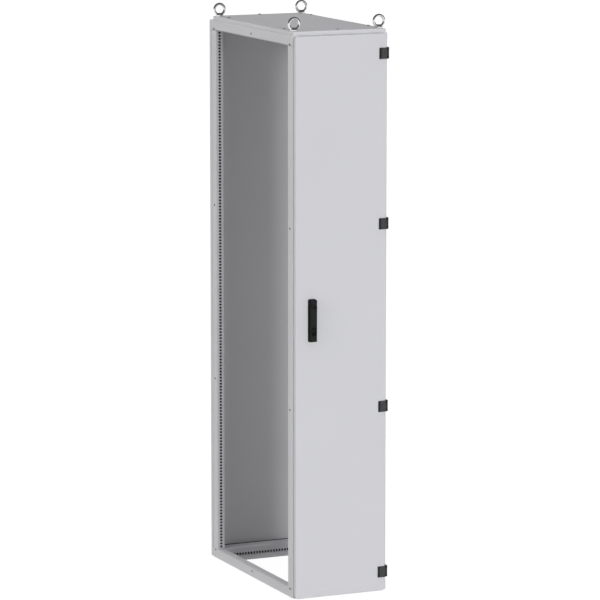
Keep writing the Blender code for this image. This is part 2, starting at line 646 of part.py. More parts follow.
def hinge_door_leaf(name, z):
    """A plate on the door's front face whose arm wraps the door's edge to the knuckle."""
    back = DOOR_FRONT_Y - GAP
    front = back - HINGE_PLATE_DEPTH
    plate_z = (z - HINGE_HEIGHT / 2, z + HINGE_HEIGHT / 2)
    plate_x = (DOOR_RIGHT_X - HINGE_PLATE_WIDTH, DOOR_RIGHT_X)
    shape = block(plate_x, (front, back), plate_z)
    soften(shape, HINGE_PLATE_CHAMFER, on_plane(1, front))
    leaf = make_object("hinge_door_leaf_" + name, shape, FINISH["black_die_cast"],
                       axis="door_axis")
    arm_front = front + HINGE_PLATE_CHAMFER
    arm_end = DOOR_RIGHT_X - HINGE_ARM_OVERLAP
    outline = [(arm_end, arm_front), (HINGE_X - KNUCKLE_RADIUS / 2, arm_front),
               (HINGE_X + KNUCKLE_RADIUS / 2, DOOR_FRONT_Y)]
    outline += knuckle_outline(False) + [(HINGE_X - KNUCKLE_RADIUS, back), (arm_end, back)]
    fuse(leaf, prism(outline, "Z", between(*plate_z, HINGE_EAR + GAP)))
    cut(leaf, round_bar("Z", (HINGE_X, HINGE_Y), HINGE_PIN_RADIUS + GAP,
                        between(*plate_z, -OVERCUT)))


def hinge_pin(name, z):
    half = HINGE_HEIGHT / 2 + GAP
    profile = [(0, -half - HINGE_PIN_HEAD), (HINGE_PIN_RADIUS, -half - HINGE_PIN_HEAD),
               (HINGE_PIN_RADIUS, half), (HINGE_PIN_HEAD_RADIUS, half),
               (HINGE_PIN_CROWN_RADIUS, half + HINGE_PIN_HEAD),
               (0, half + HINGE_PIN_HEAD)]
    place = (HINGE_X, HINGE_Y, z)
    make_object("hinge_pin_" + name, turned(profile, place, SMALL_PIN_ROUND), FINISH["zinc_plate"], place)


def make_hinges():
    for number, z in enumerate(HINGE_HEIGHTS, 1):
        hinge_frame_leaf(str(number), z)
        hinge_door_leaf(str(number), z)
        hinge_pin(str(number), z)


# ---------------------------------------------------------------- door
def door_panel():
    """A folded tray with rounded corners, its hollow side towards the frame."""
    x_range = (DOOR_LEFT_X, DOOR_RIGHT_X)
    z_range = (DOOR_BOTTOM, DOOR_TOP)
    shape = prism(rounded_rectangle(x_range, z_range, DOOR_CORNER_RADIUS), "Y",
                  (DOOR_FRONT_Y, DOOR_BACK_Y))
    soften(shape, DOOR_EDGE_RADIUS, on_plane(1, DOOR_FRONT_Y))
    panel = make_object("door_panel", shape, FINISH["powder_coat"], axis="door_axis")
    inner = rounded_rectangle(between(*x_range, DOOR_WALL), between(*z_range, DOOR_WALL),
                              DOOR_CORNER_RADIUS - DOOR_WALL)
    cut(panel, prism(inner, "Y", (DOOR_SKIN_Y, DOOR_BACK_Y + OVERCUT)),
        round_bar("Y", (HANDLE_X, SPINDLE_Z), SPINDLE_HOLE_RADIUS + DOOR_WALL,
                  (DOOR_FRONT_Y - OVERCUT, DOOR_SKIN_Y + OVERCUT)))


def door_stiffener(name, x):
    """A channel up the inside of the door, open towards the door's skin."""
    x_range = (x - STIFFENER_WIDTH / 2, x + STIFFENER_WIDTH / 2)
    y_range = (DOOR_SKIN_Y + GAP, DOOR_SKIN_Y + GAP + STIFFENER_DEPTH)
    z_range = between(OPENING_BOTTOM, OPENING_TOP, STIFFENER_END_CLEARANCE)
    channel = make_object("door_stiffener_" + name, block(x_range, y_range, z_range),
                          FINISH["zinc_plate"], axis="door_axis")
    cut(channel, block(between(*x_range, STIFFENER_WALL),
                       (y_range[0] - OVERCUT, y_range[1] - STIFFENER_WALL),
                       between(*z_range, -OVERCUT)))


def make_door():
    door_panel()
    seal("door_seal", (DOOR_SKIN_Y + GAP, FRONT_Y - FRONT_LIP - GAP), "door_axis")
    door_stiffener("latch_side", HANDLE_X + STIFFENER_FROM_HANDLE)
    door_stiffener("hinge_side", OPENING_X - STIFFENER_INSET - STIFFENER_WIDTH / 2)


# ---------------------------------------------------------------- handle
def handle_housing():
    half = HOUSING_WIDTH / 2
    outline = rounded_rectangle((HANDLE_X - half, HANDLE_X + half), (HOUSING_BOTTOM, HOUSING_TOP),
                                HOUSING_CORNER_RADIUS, 3)
    shape = prism(outline, "Y", (HOUSING_FRONT_Y, DOOR_FRONT_Y - GAP))
    housing = make_object("handle_housing", shape, FINISH["black_die_cast"], axis="door_axis")
    cut(housing, round_bar("Y", (HANDLE_X, SPINDLE_Z), SPINDLE_HOLE_RADIUS,
                           (HOUSING_FRONT_Y - OVERCUT, DOOR_FRONT_Y + OVERCUT)))


def handle_hub():
    """The turning head, with the tongue that carries the lever and the square spindle."""
    half = LEVER_HALF_WIDTH
    shape = block((HANDLE_X - half, HANDLE_X + half), (LEVER_FRONT_Y, LEVER_BACK_Y),
                  (HUB_BOTTOM, HUB_TOP))
    soften(shape, HUB_EDGE_RADIUS, on_plane(1, LEVER_FRONT_Y))
    hub = make_object("handle_hub", shape, FINISH["black_die_cast"], axis="spindle_axis")
    neck = HUB_BOTTOM + HUB_EDGE_RADIUS
    outline = arc((PIVOT_Y, PIVOT_Z), TONGUE_RADIUS, 180, 360, HALF_ROUND)
    outline += [(PIVOT_Y + TONGUE_RADIUS, neck), (PIVOT_Y - TONGUE_RADIUS, neck)]
    fuse(hub, prism(outline, "X", (HANDLE_X - TONGUE_WIDTH / 2, HANDLE_X + TONGUE_WIDTH / 2)))
    square = SPINDLE_SQUARE / 2
    fuse(hub, block((HANDLE_X - square, HANDLE_X + square), (PIVOT_Y, CASE_BACK_Y + CASE_WALL),
                    (SPINDLE_Z - square, SPINDLE_Z + square)))
    cut(hub, round_bar("X", (PIVOT_Y, PIVOT_Z), PIVOT_PIN_RADIUS + GAP,
                       (HANDLE_X - half - OVERCUT, HANDLE_X + half + OVERCUT), PIN_ROUND))


def pivot_pin():
    length = LEVER_HALF_WIDTH - LEVER_EDGE_RADIUS
    shape = round_bar("X", (PIVOT_Y, PIVOT_Z), PIVOT_PIN_RADIUS,
                      (HANDLE_X - length, HANDLE_X + length), PIN_ROUND)
    make_object("handle_pivot_pin", shape, FINISH["zinc_plate"], axis="spindle_axis")


def handle_lever():
    """The lever: round about its pivot at the top, forked round the hub's tongue."""
    half = LEVER_HALF_WIDTH
    bottom = HOUSING_BOTTOM + LEVER_MARGIN
    outline = arc((PIVOT_Y, PIVOT_Z), LEVER_DEPTH / 2, 0, 180, HALF_ROUND)
    outline += [(LEVER_FRONT_Y, bottom), (LEVER_BACK_Y, bottom)]
    shape = prism(outline, "X", (HANDLE_X - half, HANDLE_X + half))

    def front_edge(start, end):
        ahead = max(start.y, end.y) < LEVER_FRONT_Y + 1e-6
        return ahead and abs(start.z - end.z) + abs(start.x - end.x) > LEVER_EDGE_RADIUS
    soften(shape, LEVER_EDGE_RADIUS, front_edge)
    lever = make_object("handle_lever", shape, FINISH["black_die_cast"], axis="pivot_axis")
    slot = TONGUE_WIDTH / 2 + LEVER_GAP
    cut(lever,
        block((HANDLE_X - slot, HANDLE_X + slot), between(LEVER_FRONT_Y, LEVER_BACK_Y, -OVERCUT),
              (PIVOT_Z - TONGUE_RADIUS - LEVER_GAP, PIVOT_Z + LEVER_DEPTH)),
        round_bar("X", (PIVOT_Y, PIVOT_Z), PIVOT_PIN_RADIUS + GAP,
                  (HANDLE_X - half - OVERCUT, HANDLE_X + half + OVERCUT), PIN_ROUND),
        round_bar("Y", (HANDLE_X, CYLINDER_Z), CYLINDER_RADIUS + GAP,
                  between(LEVER_FRONT_Y, LEVER_BACK_Y, -OVERCUT)))


def lock_cylinder():
    front = LEVER_FRONT_Y - CYLINDER_PROUD
    shape = round_bar("Y", (HANDLE_X, CYLINDER_Z), CYLINDER_RADIUS, (front, LEVER_BACK_Y))
    cylinder = make_object("lock_cylinder", shape, FINISH["black_die_cast"],
                           axis="cylinder_axis")
    cut(cylinder, block((HANDLE_X - KEYWAY_WIDTH / 2, HANDLE_X + KEYWAY_WIDTH / 2),
                        (front - OVERCUT, front + KEYWAY_DEPTH),
                        (CYLINDER_Z - KEYWAY_HEIGHT / 2, CYLINDER_Z + KEYWAY_HEIGHT / 2)))


def make_handle():
    handle_housing()
    handle_hub()
    pivot_pin()
    handle_lever()
    lock_cylinder()


# ---------------------------------------------------------------- rod lock
def tooth_profile(root_slope):
    """Half widths of a tooth at its root, pitch line and tip, with their heights."""
    half = TOOTH_FILL * TOOTH_PITCH / 2
    slope = math.tan(math.radians(PRESSURE_ANGLE))
    return [(half + root_slope * slope * DEDENDUM * TOOTH_MODULE, -DEDENDUM * TOOTH_MODULE),
            (half, 0),
            (half - slope * ADDENDUM * TOOTH_MODULE, ADDENDUM * TOOTH_MODULE)]


def drive_pinion():
    outline = []
    profile = tooth_profile(PINION_ROOT_SLOPE)
    for tooth in range(PINION_TEETH):
        middle = 2 * math.pi * tooth / PINION_TEETH
        flank = [(-width, rise) for width, rise in profile] + [
            (width, rise) for width, rise in reversed(profile)]
        for width, rise in flank:
            radius = PITCH_RADIUS + rise
            turn = middle + width / radius
            outline.append((HANDLE_X + radius * math.cos(turn),
                            SPINDLE_Z + radius * math.sin(turn)))
    middle_y = (ROD_FRONT_Y + ROD_BACK_Y) / 2
    y_range = (middle_y - PINION_FACE / 2, middle_y + PINION_FACE / 2)
    pinion = make_object("drive_pinion", prism(outline, "Y", y_range), FINISH["zinc_plate"],
                         axis="spindle_axis")
    square = SPINDLE_SQUARE / 2 + GAP
    cut(pinion, block((HANDLE_X - square, HANDLE_X + square), between(*y_range, -OVERCUT),
                      (SPINDLE_Z - square, SPINDLE_Z + square)))


def lock_rod(name, side, upward, end_z):
    """A flat rod whose inner edge is a rack where it passes the pinion."""
    inner = HANDLE_X + side * ROD_INNER
    outer = HANDLE_X + side * ROD_OUTER
    start_z = SPINDLE_Z - upward * RACK_FOOT_TEETH * TOOTH_PITCH
    teeth = int(ROD_TRAVEL / TOOTH_PITCH) + RACK_FOOT_TEETH
    outline = [(outer, start_z), (inner, start_z)]
    for number in range(1 - RACK_FOOT_TEETH, teeth):
        middle = SPINDLE_Z + upward * (number + 0.5) * TOOTH_PITCH
        profile = tooth_profile(RACK_ROOT_SLOPE)
        flank = [(-width, rise) for width, rise in profile] + [
            (width, rise) for width, rise in reversed(profile)]
        for width, rise in flank:
            outline.append((inner - side * (rise + DEDENDUM * TOOTH_MODULE),
                            middle + upward * width))
    outline += [(inner, end_z - upward * ROD_CHAMFER), (inner + side * ROD_CHAMFER, end_z),
                (outer - side * ROD_CHAMFER, end_z), (outer, end_z - upward * ROD_CHAMFER)]
    make_object("lock_rod_" + name, prism(outline, "Y", (ROD_FRONT_Y, ROD_BACK_Y)),
                FINISH["zinc_plate"], axis="rod_{}_axis".format(name))


def lock_case():
    """The sleeve on the door's inner side that holds the pinion and guides both racks."""
    half = ROD_OUTER + CASE_SIDE_CLEARANCE + CASE_WALL
    x_range = (HANDLE_X - half, HANDLE_X + half)
    y_range = (CASE_FRONT_Y, CASE_BACK_Y)
    z_range = (SPINDLE_Z - CASE_HEIGHT / 2, SPINDLE_Z + CASE_HEIGHT / 2)
    case = make_object("lock_case", block(x_range, y_range, z_range), FINISH["zinc_plate"],
                       axis="door_axis")
    cut(case, block(between(*x_range, CASE_WALL), between(*y_range, CASE_WALL),
                    between(*z_range, -OVERCUT)),
        round_bar("Y", (HANDLE_X, SPINDLE_Z), SPINDLE_HOLE_RADIUS, between(*y_range, -OVERCUT)))


def rod_guide(name, side, z):
    """A block on the door's inner side with a slot that the rod runs in."""
    x_range = sorted((HANDLE_X + side * (ROD_INNER - GUIDE_WALL),
                      HANDLE_X + side * (ROD_OUTER + GUIDE_WALL)))
    slot_x = between(*x_range, GUIDE_WALL - GUIDE_CLEARANCE)
    z_range = (z - GUIDE_HEIGHT / 2, z + GUIDE_HEIGHT / 2)
    guide = make_object("rod_guide_" + name,
                        block(x_range, (DOOR_SKIN_Y + GAP, CASE_BACK_Y), z_range),
                        FINISH["black_die_cast"], axis="door_axis")
    cut(guide, block(slot_x, between(ROD_FRONT_Y, ROD_BACK_Y, -GUIDE_CLEARANCE),
                     between(*z_range, -OVERCUT)))


def make_lock():
    drive_pinion()
    lock_rod("upper", -1, 1, OPENING_TOP - ROD_END_CLEARANCE)
    lock_rod("lower", 1, -1, OPENING_BOTTOM + ROD_END_CLEARANCE)
    lock_case()
    rod_guide("upper", -1, FRAME_HEIGHT - GUIDE_FROM_END)
    rod_guide("lower", 1, GUIDE_FROM_END)


# ---------------------------------------------------------------- the cabinet
clear_scene()
FINISH = make_materials()
EMPTIES = make_axes()
make_frame()
earth_stud()
make_roof()
rear_panel()
make_hinges()
make_door()
make_handle()
make_lock()
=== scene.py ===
"""Looks of a floor-standing switchboard cabinet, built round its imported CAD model.

Metres, +Z up.  The door faces -Y and is hung on the right, +X.
"""

import json
import math

import bmesh
import bpy
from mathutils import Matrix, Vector


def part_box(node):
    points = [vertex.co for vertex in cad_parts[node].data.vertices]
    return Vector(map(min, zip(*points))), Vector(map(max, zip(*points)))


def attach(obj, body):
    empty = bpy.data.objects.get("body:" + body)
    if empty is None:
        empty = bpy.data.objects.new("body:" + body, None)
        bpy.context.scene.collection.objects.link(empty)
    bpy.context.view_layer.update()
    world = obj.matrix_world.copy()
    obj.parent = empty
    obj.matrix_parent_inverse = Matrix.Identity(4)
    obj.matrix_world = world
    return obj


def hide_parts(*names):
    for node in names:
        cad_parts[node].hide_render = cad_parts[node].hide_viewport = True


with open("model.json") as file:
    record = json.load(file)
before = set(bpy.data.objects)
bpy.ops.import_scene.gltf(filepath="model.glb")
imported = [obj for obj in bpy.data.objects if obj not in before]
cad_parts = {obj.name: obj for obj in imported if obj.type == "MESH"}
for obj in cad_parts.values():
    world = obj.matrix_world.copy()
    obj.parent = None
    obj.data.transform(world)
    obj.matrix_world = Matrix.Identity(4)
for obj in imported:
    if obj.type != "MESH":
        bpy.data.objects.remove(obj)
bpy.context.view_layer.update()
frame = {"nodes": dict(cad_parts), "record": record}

# ---------------------------------------------------------------- sizes the details are made to
SHEET = 0.002                   # wall of the frame, door, roof and rear panel
BEND = 0.0032                   # outer radius of a fold in a frame profile
HEM = 0.0006                    # radius along a cut edge
FOLD_STEPS = 4
FRONT_LIP = 0.012
REAR_LIP = 0.012
PITCH = 0.0125                  # of the punched rows
PUNCH_WIDTH = 0.0100            # of a punched hole, across its row
PUNCH_LENGTH = 0.0078           # the same, along its row
ROW_END = 0.009                 # plain metal past the last hole of a row
FLOOR_ROW_RISE = 0.011          # row of the cross rails, from the rail's outer face
FIXING_RADIUS = 0.0034
FIXING_INSET = 0.025
CORNER_FIXING_DROP = 0.0058
MIDDLE_FIXING_DROP = 0.016
POST_FIXING_RISE = 0.745
ROUND = 36                      # sides of a turned piece
HOLE_ROUND = 24                 # sides of a hole in a tray's skin

SHARP_ANGLE = 38                # degrees: a steeper edge is shaded as an edge
EASED_ANGLE = 40                # degrees: a steeper edge is eased

DOOR_CORNER = 0.012
DOOR_FOLD = 0.0028
ROOF_CORNER = 0.003
ROOF_FOLD = 0.0028
PANEL_CORNER = 0.003
PANEL_FOLD = 0.0026

# ---------------------------------------------------------------- places, from the frame
BASE_LOW, BASE_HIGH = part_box("base_rail_left")
TOP_LOW, TOP_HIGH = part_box("top_rail_left")
ROOF_LOW, ROOF_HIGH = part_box("roof_panel")
SIDE_X = -BASE_LOW.x
OPENING_X = -BASE_HIGH.x
FRONT_Y = BASE_LOW.y
BACK_Y = BASE_HIGH.y
RAIL_HIGH = BASE_HIGH.z
RAIL_LOW = TOP_LOW.z
FRAME_TOP = TOP_HIGH.z
PROFILE_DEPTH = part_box("post_front_left")[1].y - FRONT_Y
MIDDLE_Y = (FRONT_Y + BACK_Y) / 2
BODY_OF = {node: body for body, nodes in frame["record"]["behaviour"]["bodies"].items()
           for node in nodes}


# ---------------------------------------------------------------- shader arithmetic
class Socket:
    """A node's output that can be written into arithmetic."""

    def __init__(self, nodes, output):
        self.nodes = nodes
        self.output = output

    def calculate(self, operation, first, second):
        return self.nodes.node("ShaderNodeMath", {"operation": operation}, {0: first, 1: second})

    def __add__(self, other):
        return self.calculate("ADD", self, other)

    def __sub__(self, other):
        return self.calculate("SUBTRACT", self, other)

    def __rsub__(self, other):
        return self.calculate("SUBTRACT", other, self)

    def __mul__(self, other):
        return self.calculate("MULTIPLY", self, other)

    def at_least(self, other):
        return self.calculate("MAXIMUM", self, other)

    def at_most(self, other):
        return self.calculate("MINIMUM", self, other)

    __radd__ = __add__


class Nodes:
    """The node tree of a material or of the world."""

    def __init__(self, tree):
        self.tree = tree
        tree.nodes.clear()

    def node(self, kind, settings=None, sockets=None, output=0):
        made = self.tree.nodes.new(kind)
        for name, value in (settings or {}).items():
            setattr(made, name, value)
        for name, value in (sockets or {}).items():
            if isinstance(value, Socket):
                self.tree.links.new(value.output, made.inputs[name])
            else:
                made.inputs[name].default_value = value
        return Socket(self, made.outputs[output]) if made.outputs else None

    def mix(self, factor, first, second):
        """A colour between two colours."""
        return self.node("ShaderNodeMix", {"data_type": "RGBA"}, {0: factor, 6: first, 7: second}, 2)


class Finish(Nodes):
    """A material made for one of the record's slots."""

    def __init__(self, slot):
        self.slot = slot
        self.material = bpy.data.materials.new(slot)
        self.material.use_nodes = True
        super().__init__(self.material.node_tree)
        self.place = self.node("ShaderNodeTexCoord", output="Object")

    def noise(self, size, detail=2.0):
        """Clouds of about the given size in metres, from 0 to 1."""
        return self.node("ShaderNodeTexNoise", {},
                         {"Vector": self.place, "Scale": 1 / size, "Detail": detail})

    def cells(self, size):
        """Cells of about the given size in metres: the distance to each cell's centre."""
        return self.node("ShaderNodeTexVoronoi", {}, {"Vector": self.place, "Scale": 1 / size})

    def inside(self):
        """1 where shade is painted: inside a profile, on a hinge's frame leaf and on the lock's
        surround; 0 elsewhere.
        """
        return self.node("ShaderNodeAttribute", {"attribute_name": PAINTED_SHADE}, output="Fac")

    def front(self):
        """1 on faces that look forward, 0 on faces square to that or facing back."""
        normal = self.node("ShaderNodeTexCoord", output="Normal")
        across = self.node("ShaderNodeSeparateXYZ", {}, {0: normal}, "Y")
        return (0.0 - across).at_least(0.0).at_most(1.0)

    def bump(self, height, strength, depth):
        """A bumpy normal: height runs from 0 to 1 over the depth in metres."""
        return self.node("ShaderNodeBump", {},
                         {"Height": height, "Strength": strength, "Distance": depth})

    def surface(self, sockets):
        shader = self.node("ShaderNodeBsdfPrincipled", {}, sockets)
        self.node("ShaderNodeOutputMaterial", {}, {"Surface": shader})
        return self


def grey(level):
    return (level, level, level, 1.0)


PAINTED_SHADE = "inside"               # 1 on the vertices that get painted shade: a profile's inside, a hinge's frame leaf, the lock's surround


def powder_coat():
    """Light grey polyester powder: fine orange peel, and a slight unevenness of shade."""
    finish = Finish("powder_coat")
    peel = finish.noise(0.0016, detail=3.0)
    cloud = finish.noise(0.35)
    fleck = finish.noise(0.0006, detail=1.0)
    shade = finish.mix(cloud * 0.7 + fleck * 0.3,
                       (0.602, 0.602, 0.626, 1.0), (0.650, 0.650, 0.675, 1.0))
    # painted shade: the inside of a profile is darkened nearly to black
    shade = finish.mix(finish.inside(), shade, grey(0.015))
    return finish.surface({"Base Color": shade, "Roughness": 0.44 + finish.noise(0.02) * 0.10,
                           "Specular IOR Level": 0.28,
                           "Normal": finish.bump(peel, strength=0.45, depth=0.0004)})


def zinc_plate():
    """Dull zinc: small crystals, rubbed a little brighter here and there."""
    finish = Finish("zinc_plate")
    crystal = finish.cells(0.0035)
    rubbed = finish.noise(0.03)
    shade = finish.mix(crystal * 0.5 + rubbed * 0.5, (0.50, 0.51, 0.51, 1.0), (0.70, 0.70, 0.69, 1.0))
    return finish.surface({"Base Color": shade, "Metallic": 1.0,
                           "Roughness": 0.26 + rubbed * 0.20 + crystal * 0.08,
                           "Normal": finish.bump(finish.noise(0.0012), strength=0.10, depth=0.0002)})


def bright_steel():
    """Bright plating over a forged surface."""
    finish = Finish("bright_steel")
    forged = finish.noise(0.006, detail=3.0)
    shade = finish.mix(finish.noise(0.015), grey(0.74), grey(0.86))
    return finish.surface({"Base Color": shade, "Metallic": 1.0, "Roughness": 0.07 + forged * 0.12,
                           "Normal": finish.bump(forged, strength=0.15, depth=0.0004)})


HINGE_SHADE_MARGIN = 0.0042           # width of a door leaf's margin in painted shade
HINGE_SHADE_FADE = 0.0050             # over this width the painted shade turns into the lit middle
KNUCKLE_WIDTH = 0.0136          # at the leaf's outer end; the knuckle is painted in shade


def black_hinge():
    """Black satin paint on die-cast zinc, with painted shade on the margin, the knuckles, the side
    faces and the frame leaf.
    """
    finish = Finish("black_hinge")
    cast = finish.noise(0.0011, detail=3.0)
    low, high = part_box("hinge_door_leaf_1")
    across = finish.node("ShaderNodeSeparateXYZ", {}, {0: finish.place}, "X")
    from_margin = (across - (low.x + HINGE_SHADE_MARGIN)) * (1 / HINGE_SHADE_FADE)
    from_knuckle = (high.x - KNUCKLE_WIDTH + HINGE_SHADE_FADE / 2 - across) * (2 / HINGE_SHADE_FADE)
    # 1 on the lit middle of the plate, 0 on the margin and the knuckle, which get painted shade
    plate = from_margin.at_most(from_knuckle).at_least(0.0).at_most(1.0)
    shade = finish.mix(finish.noise(0.01), (0.034, 0.035, 0.038, 1.0), (0.060, 0.061, 0.065, 1.0))
    shade = finish.mix(plate, grey(0.003), shade)
    # painted shade on faces that don't look forward
    shade = finish.mix(finish.front(), grey(0.006), shade)
    # painted shade on the frame leaf
    shade = finish.mix(finish.inside(), shade, grey(0.009))
    return finish.surface({"Base Color": shade, "Roughness": 0.40 + cast * 0.14,
                           "Specular IOR Level": 0.35,
                           "Normal": finish.bump(cast, strength=0.5, depth=0.0004)})


def black_handle():
    """Glass-filled nylon with a fine moulded grain."""
    finish = Finish("black_handle")
    grain = finish.noise(0.0007)
    shade = finish.mix(finish.noise(0.008), (0.012, 0.012, 0.013, 1.0), (0.020, 0.020, 0.021, 1.0))
    # painted shade on faces that don't look forward
    shade = finish.mix(finish.front(), grey(0.003), shade)
    # painted shade on the lock's surround
    shade = finish.mix(finish.inside(), shade, grey(0.002))
    return finish.surface({"Base Color": shade, "Roughness": 0.50 + grain * 0.18,
                           "Specular IOR Level": 0.16,
                           "Normal": finish.bump(grain, strength=0.6, depth=0.0003)})


def dark_zinc():
    """Blackened zinc, brighter where the key has rubbed it."""
    finish = Finish("dark_zinc")
    rubbed = finish.noise(0.004, detail=3.0)
    shade = finish.mix(rubbed, (0.012, 0.012, 0.013, 1.0), (0.040, 0.040, 0.039, 1.0))
    return finish.surface({"Base Color": shade, "Metallic": 1.0, "Roughness": 0.24 + rubbed * 0.20,
                           "Normal": finish.bump(finish.noise(0.0009), strength=0.10, depth=0.0002)})


def seal_foam():
    """Foamed polyurethane: matt, with an open skin of small cells."""
    finish = Finish("seal_foam")
    cell = finish.cells(0.0012)
    shade = finish.mix(finish.noise(0.01), grey(0.080), grey(0.125))
    return finish.surface({"Base Color": shade, "Roughness": 0.80 + cell * 0.15,
                           "Normal": finish.bump(cell, strength=0.5, depth=0.0004)})


def brass():
    """Plain turned brass, slightly tarnished."""
    finish = Finish("brass")
    tarnish = finish.noise(0.006, detail=3.0)
    shade = finish.mix(tarnish, (0.56, 0.40, 0.17, 1.0), (0.78, 0.60, 0.30, 1.0))
    return finish.surface({"Base Color": shade, "Metallic": 1.0, "Roughness": 0.22 + tarnish * 0.2,
                           "Normal": finish.bump(finish.noise(0.0008), strength=0.12, depth=0.0002)})


FINISHES = {make.__name__: make() for make in (powder_coat, zinc_plate, bright_steel, black_hinge,
                                               black_handle, dark_zinc, seal_foam, brass)}


# ---------------------------------------------------------------- pieces
def piece(name, mesh, slot, body, replaced=()):
    """Turns a bmesh into a piece of the cabinet that rides on a body."""
    bmesh.ops.recalc_face_normals(mesh, faces=mesh.faces)
    data = bpy.data.meshes.new(name)
    mesh.to_mesh(data)
    mesh.free()
    return piece_of(name, data, slot, body, replaced)


def piece_of(name, data, slot, body, replaced=(), place=(0, 0, 0)):
    """Does the same from finished mesh data."""
    data.materials.clear()
    data.materials.append(FINISHES[slot].material)
    data.shade_smooth()
    data.set_sharp_from_angle(angle=math.radians(SHARP_ANGLE))
    made = bpy.data.objects.new(name, data)
    bpy.context.collection.objects.link(made)
    made.location = place
    weighted = made.modifiers.new("even shading", "WEIGHTED_NORMAL")
    weighted.keep_sharp = True
    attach(made, body)
    if replaced:
        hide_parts(*replaced)
    return made


def along_x(a, b, s):
    return (s, a, b)


def along_y(a, b, s):
    return (a, s, b)


def along_z(a, b, s):
    return (a, b, s)


def rounded(corners):
    """A closed outline from square corners (a, b, radius), each rounded by its own radius."""
    outline = []
    for i, (a, b, radius) in enumerate(corners):
        corner = Vector((a, b))
        back = (Vector(corners[i - 1][:2]) - corner).normalized()
        onward = (Vector(corners[(i + 1) % len(corners)][:2]) - corner).normalized()
        centre = corner + radius * (back + onward)
        for step in range(FOLD_STEPS + 1):
            turn = math.pi / 2 * step / FOLD_STEPS
            outline.append(centre - radius * (onward * math.cos(turn) + back * math.sin(turn)))
    return outline


def rectangle(a_range, b_range, radius):
    (a0, a1), (b0, b1) = a_range, b_range
    return rounded([(a0, b0, radius), (a1, b0, radius), (a1, b1, radius), (a0, b1, radius)])


def circle(radius, sides=ROUND):
    turns = [2 * math.pi * i / sides for i in range(sides)]
    return [(radius * math.cos(turn), radius * math.sin(turn)) for turn in turns]


def between(low, high, wall=0.0):
    return (low + wall, high - wall)


def join(mesh, first, second):
    """A band of faces between two loops of as many points."""
    for i in range(len(first)):
        j = (i + 1) % len(first)
        mesh.faces.new((first[i], first[j], second[j], second[i]))


def fill(mesh, loops):
    """One flat face inside the first loop, open inside the others."""
    if len(loops) == 1:
        mesh.faces.new(loops[0])
        return
    edges = []
    for loop in loops:
        for first, second in zip(loop, loop[1:] + loop[:1]):
            edges.append(mesh.edges.get((first, second)) or mesh.edges.new((first, second)))
    bmesh.ops.triangle_fill(mesh, use_beauty=True, use_dissolve=False, edges=edges)


def stack(loops, endless=False):
    """A closed skin over a run of loops: its ends are filled, or joined to each other."""
    mesh = bmesh.new()
    made = [[mesh.verts.new(point) for point in loop] for loop in loops]
    for first, second in zip(made, made[1:]):
        join(mesh, first, second)
    if endless:
        join(mesh, made[-1], made[0])
    else:
        fill(mesh, [made[0]])
        fill(mesh, [made[-1]])
    return mesh


def turned(profile, centre, place, endless=False, sides=ROUND):
    """Turns (radius, height) points about an axis through centre."""
    loops = []
    for radius, height in profile:
        loops.append([Vector(place(a, b, height)) + Vector(centre) for a, b in circle(radius, sides)])
    return stack(loops, endless)


def rounding(radius, inset, height, steps=4):
    """Points of (inset, height) over a rounded edge that ends at the given height."""
    turns = [math.pi / 2 * i / steps for i in range(steps + 1)]
    return [(inset + radius * (1 - math.cos(turn)), height - radius * (1 - math.sin(turn)))
            for turn in turns]


# ---------------------------------------------------------------- folded and punched profiles
def side_of(corner):
    """The flat side that leaves a corner of a rounded outline."""
    return corner * (FOLD_STEPS + 1) + FOLD_STEPS


def punched_hole(across, along):
    """The two sides of a punched hole, each from the bottom up."""
    half, reach = PUNCH_WIDTH / 2, PUNCH_LENGTH / 2
    return ([(across - half, along - reach), (across - half, along + reach)],
            [(across + half, along - reach), (across + half, along + reach)])


def round_hole(across, along, radius=FIXING_RADIUS, sides=16):
    """The two halves of a round hole's outline, each from the bottom up."""
    turns = [math.pi * ((i + 0.5) / (sides / 2) - 0.5) for i in range(sides // 2)]
    return ([(across - radius * math.cos(turn), along + radius * math.sin(turn)) for turn in turns],
            [(across + radius * math.cos(turn), along + radius * math.sin(turn)) for turn in turns])


def row(across, span, pitch=PITCH, hole=punched_hole):
    """Holes at a pitch, spaced evenly about the middle of the span."""
    middle = (span[0] + span[1]) / 2
    count = int((span[1] - span[0] - 2 * ROW_END) / pitch) // 2
    return [hole(across, middle + i * pitch) for i in range(-count, count + 1)]


def punch(mesh, place, start, end, quad, holes):
    """Fills one flat side of a profile round its holes, and returns the holes' rims."""
    low_start, low_end, high_end, high_start = quad
    upright = abs(end.x - start.x) < abs(end.y - start.y)
    onward = end.y > start.y if upright else end.x > start.x

    def vertex(across, along):
        a, b = (start.x, across) if upright else (across, start.y)
        return mesh.verts.new(place(a, b, along))

    near_edge, far_edge, rims = [], [], []
    below = (low_start, low_end)
    for low_side, high_side in holes:
        low = [vertex(*point) for point in low_side]
        high = [vertex(*point) for point in high_side]
        near, far = (low, high) if onward else (high, low)
        mesh.faces.new((below[0], below[1], far[0], near[0]))
        below = (near[-1], far[-1])
        near_edge += near
        far_edge += far
        rims.append(low + high[::-1])
    mesh.faces.new((below[0], below[1], high_end, high_start))
    mesh.faces.new([low_start] + near_edge + [high_start])
    mesh.faces.new([low_end] + far_edge + [high_end])
    return rims


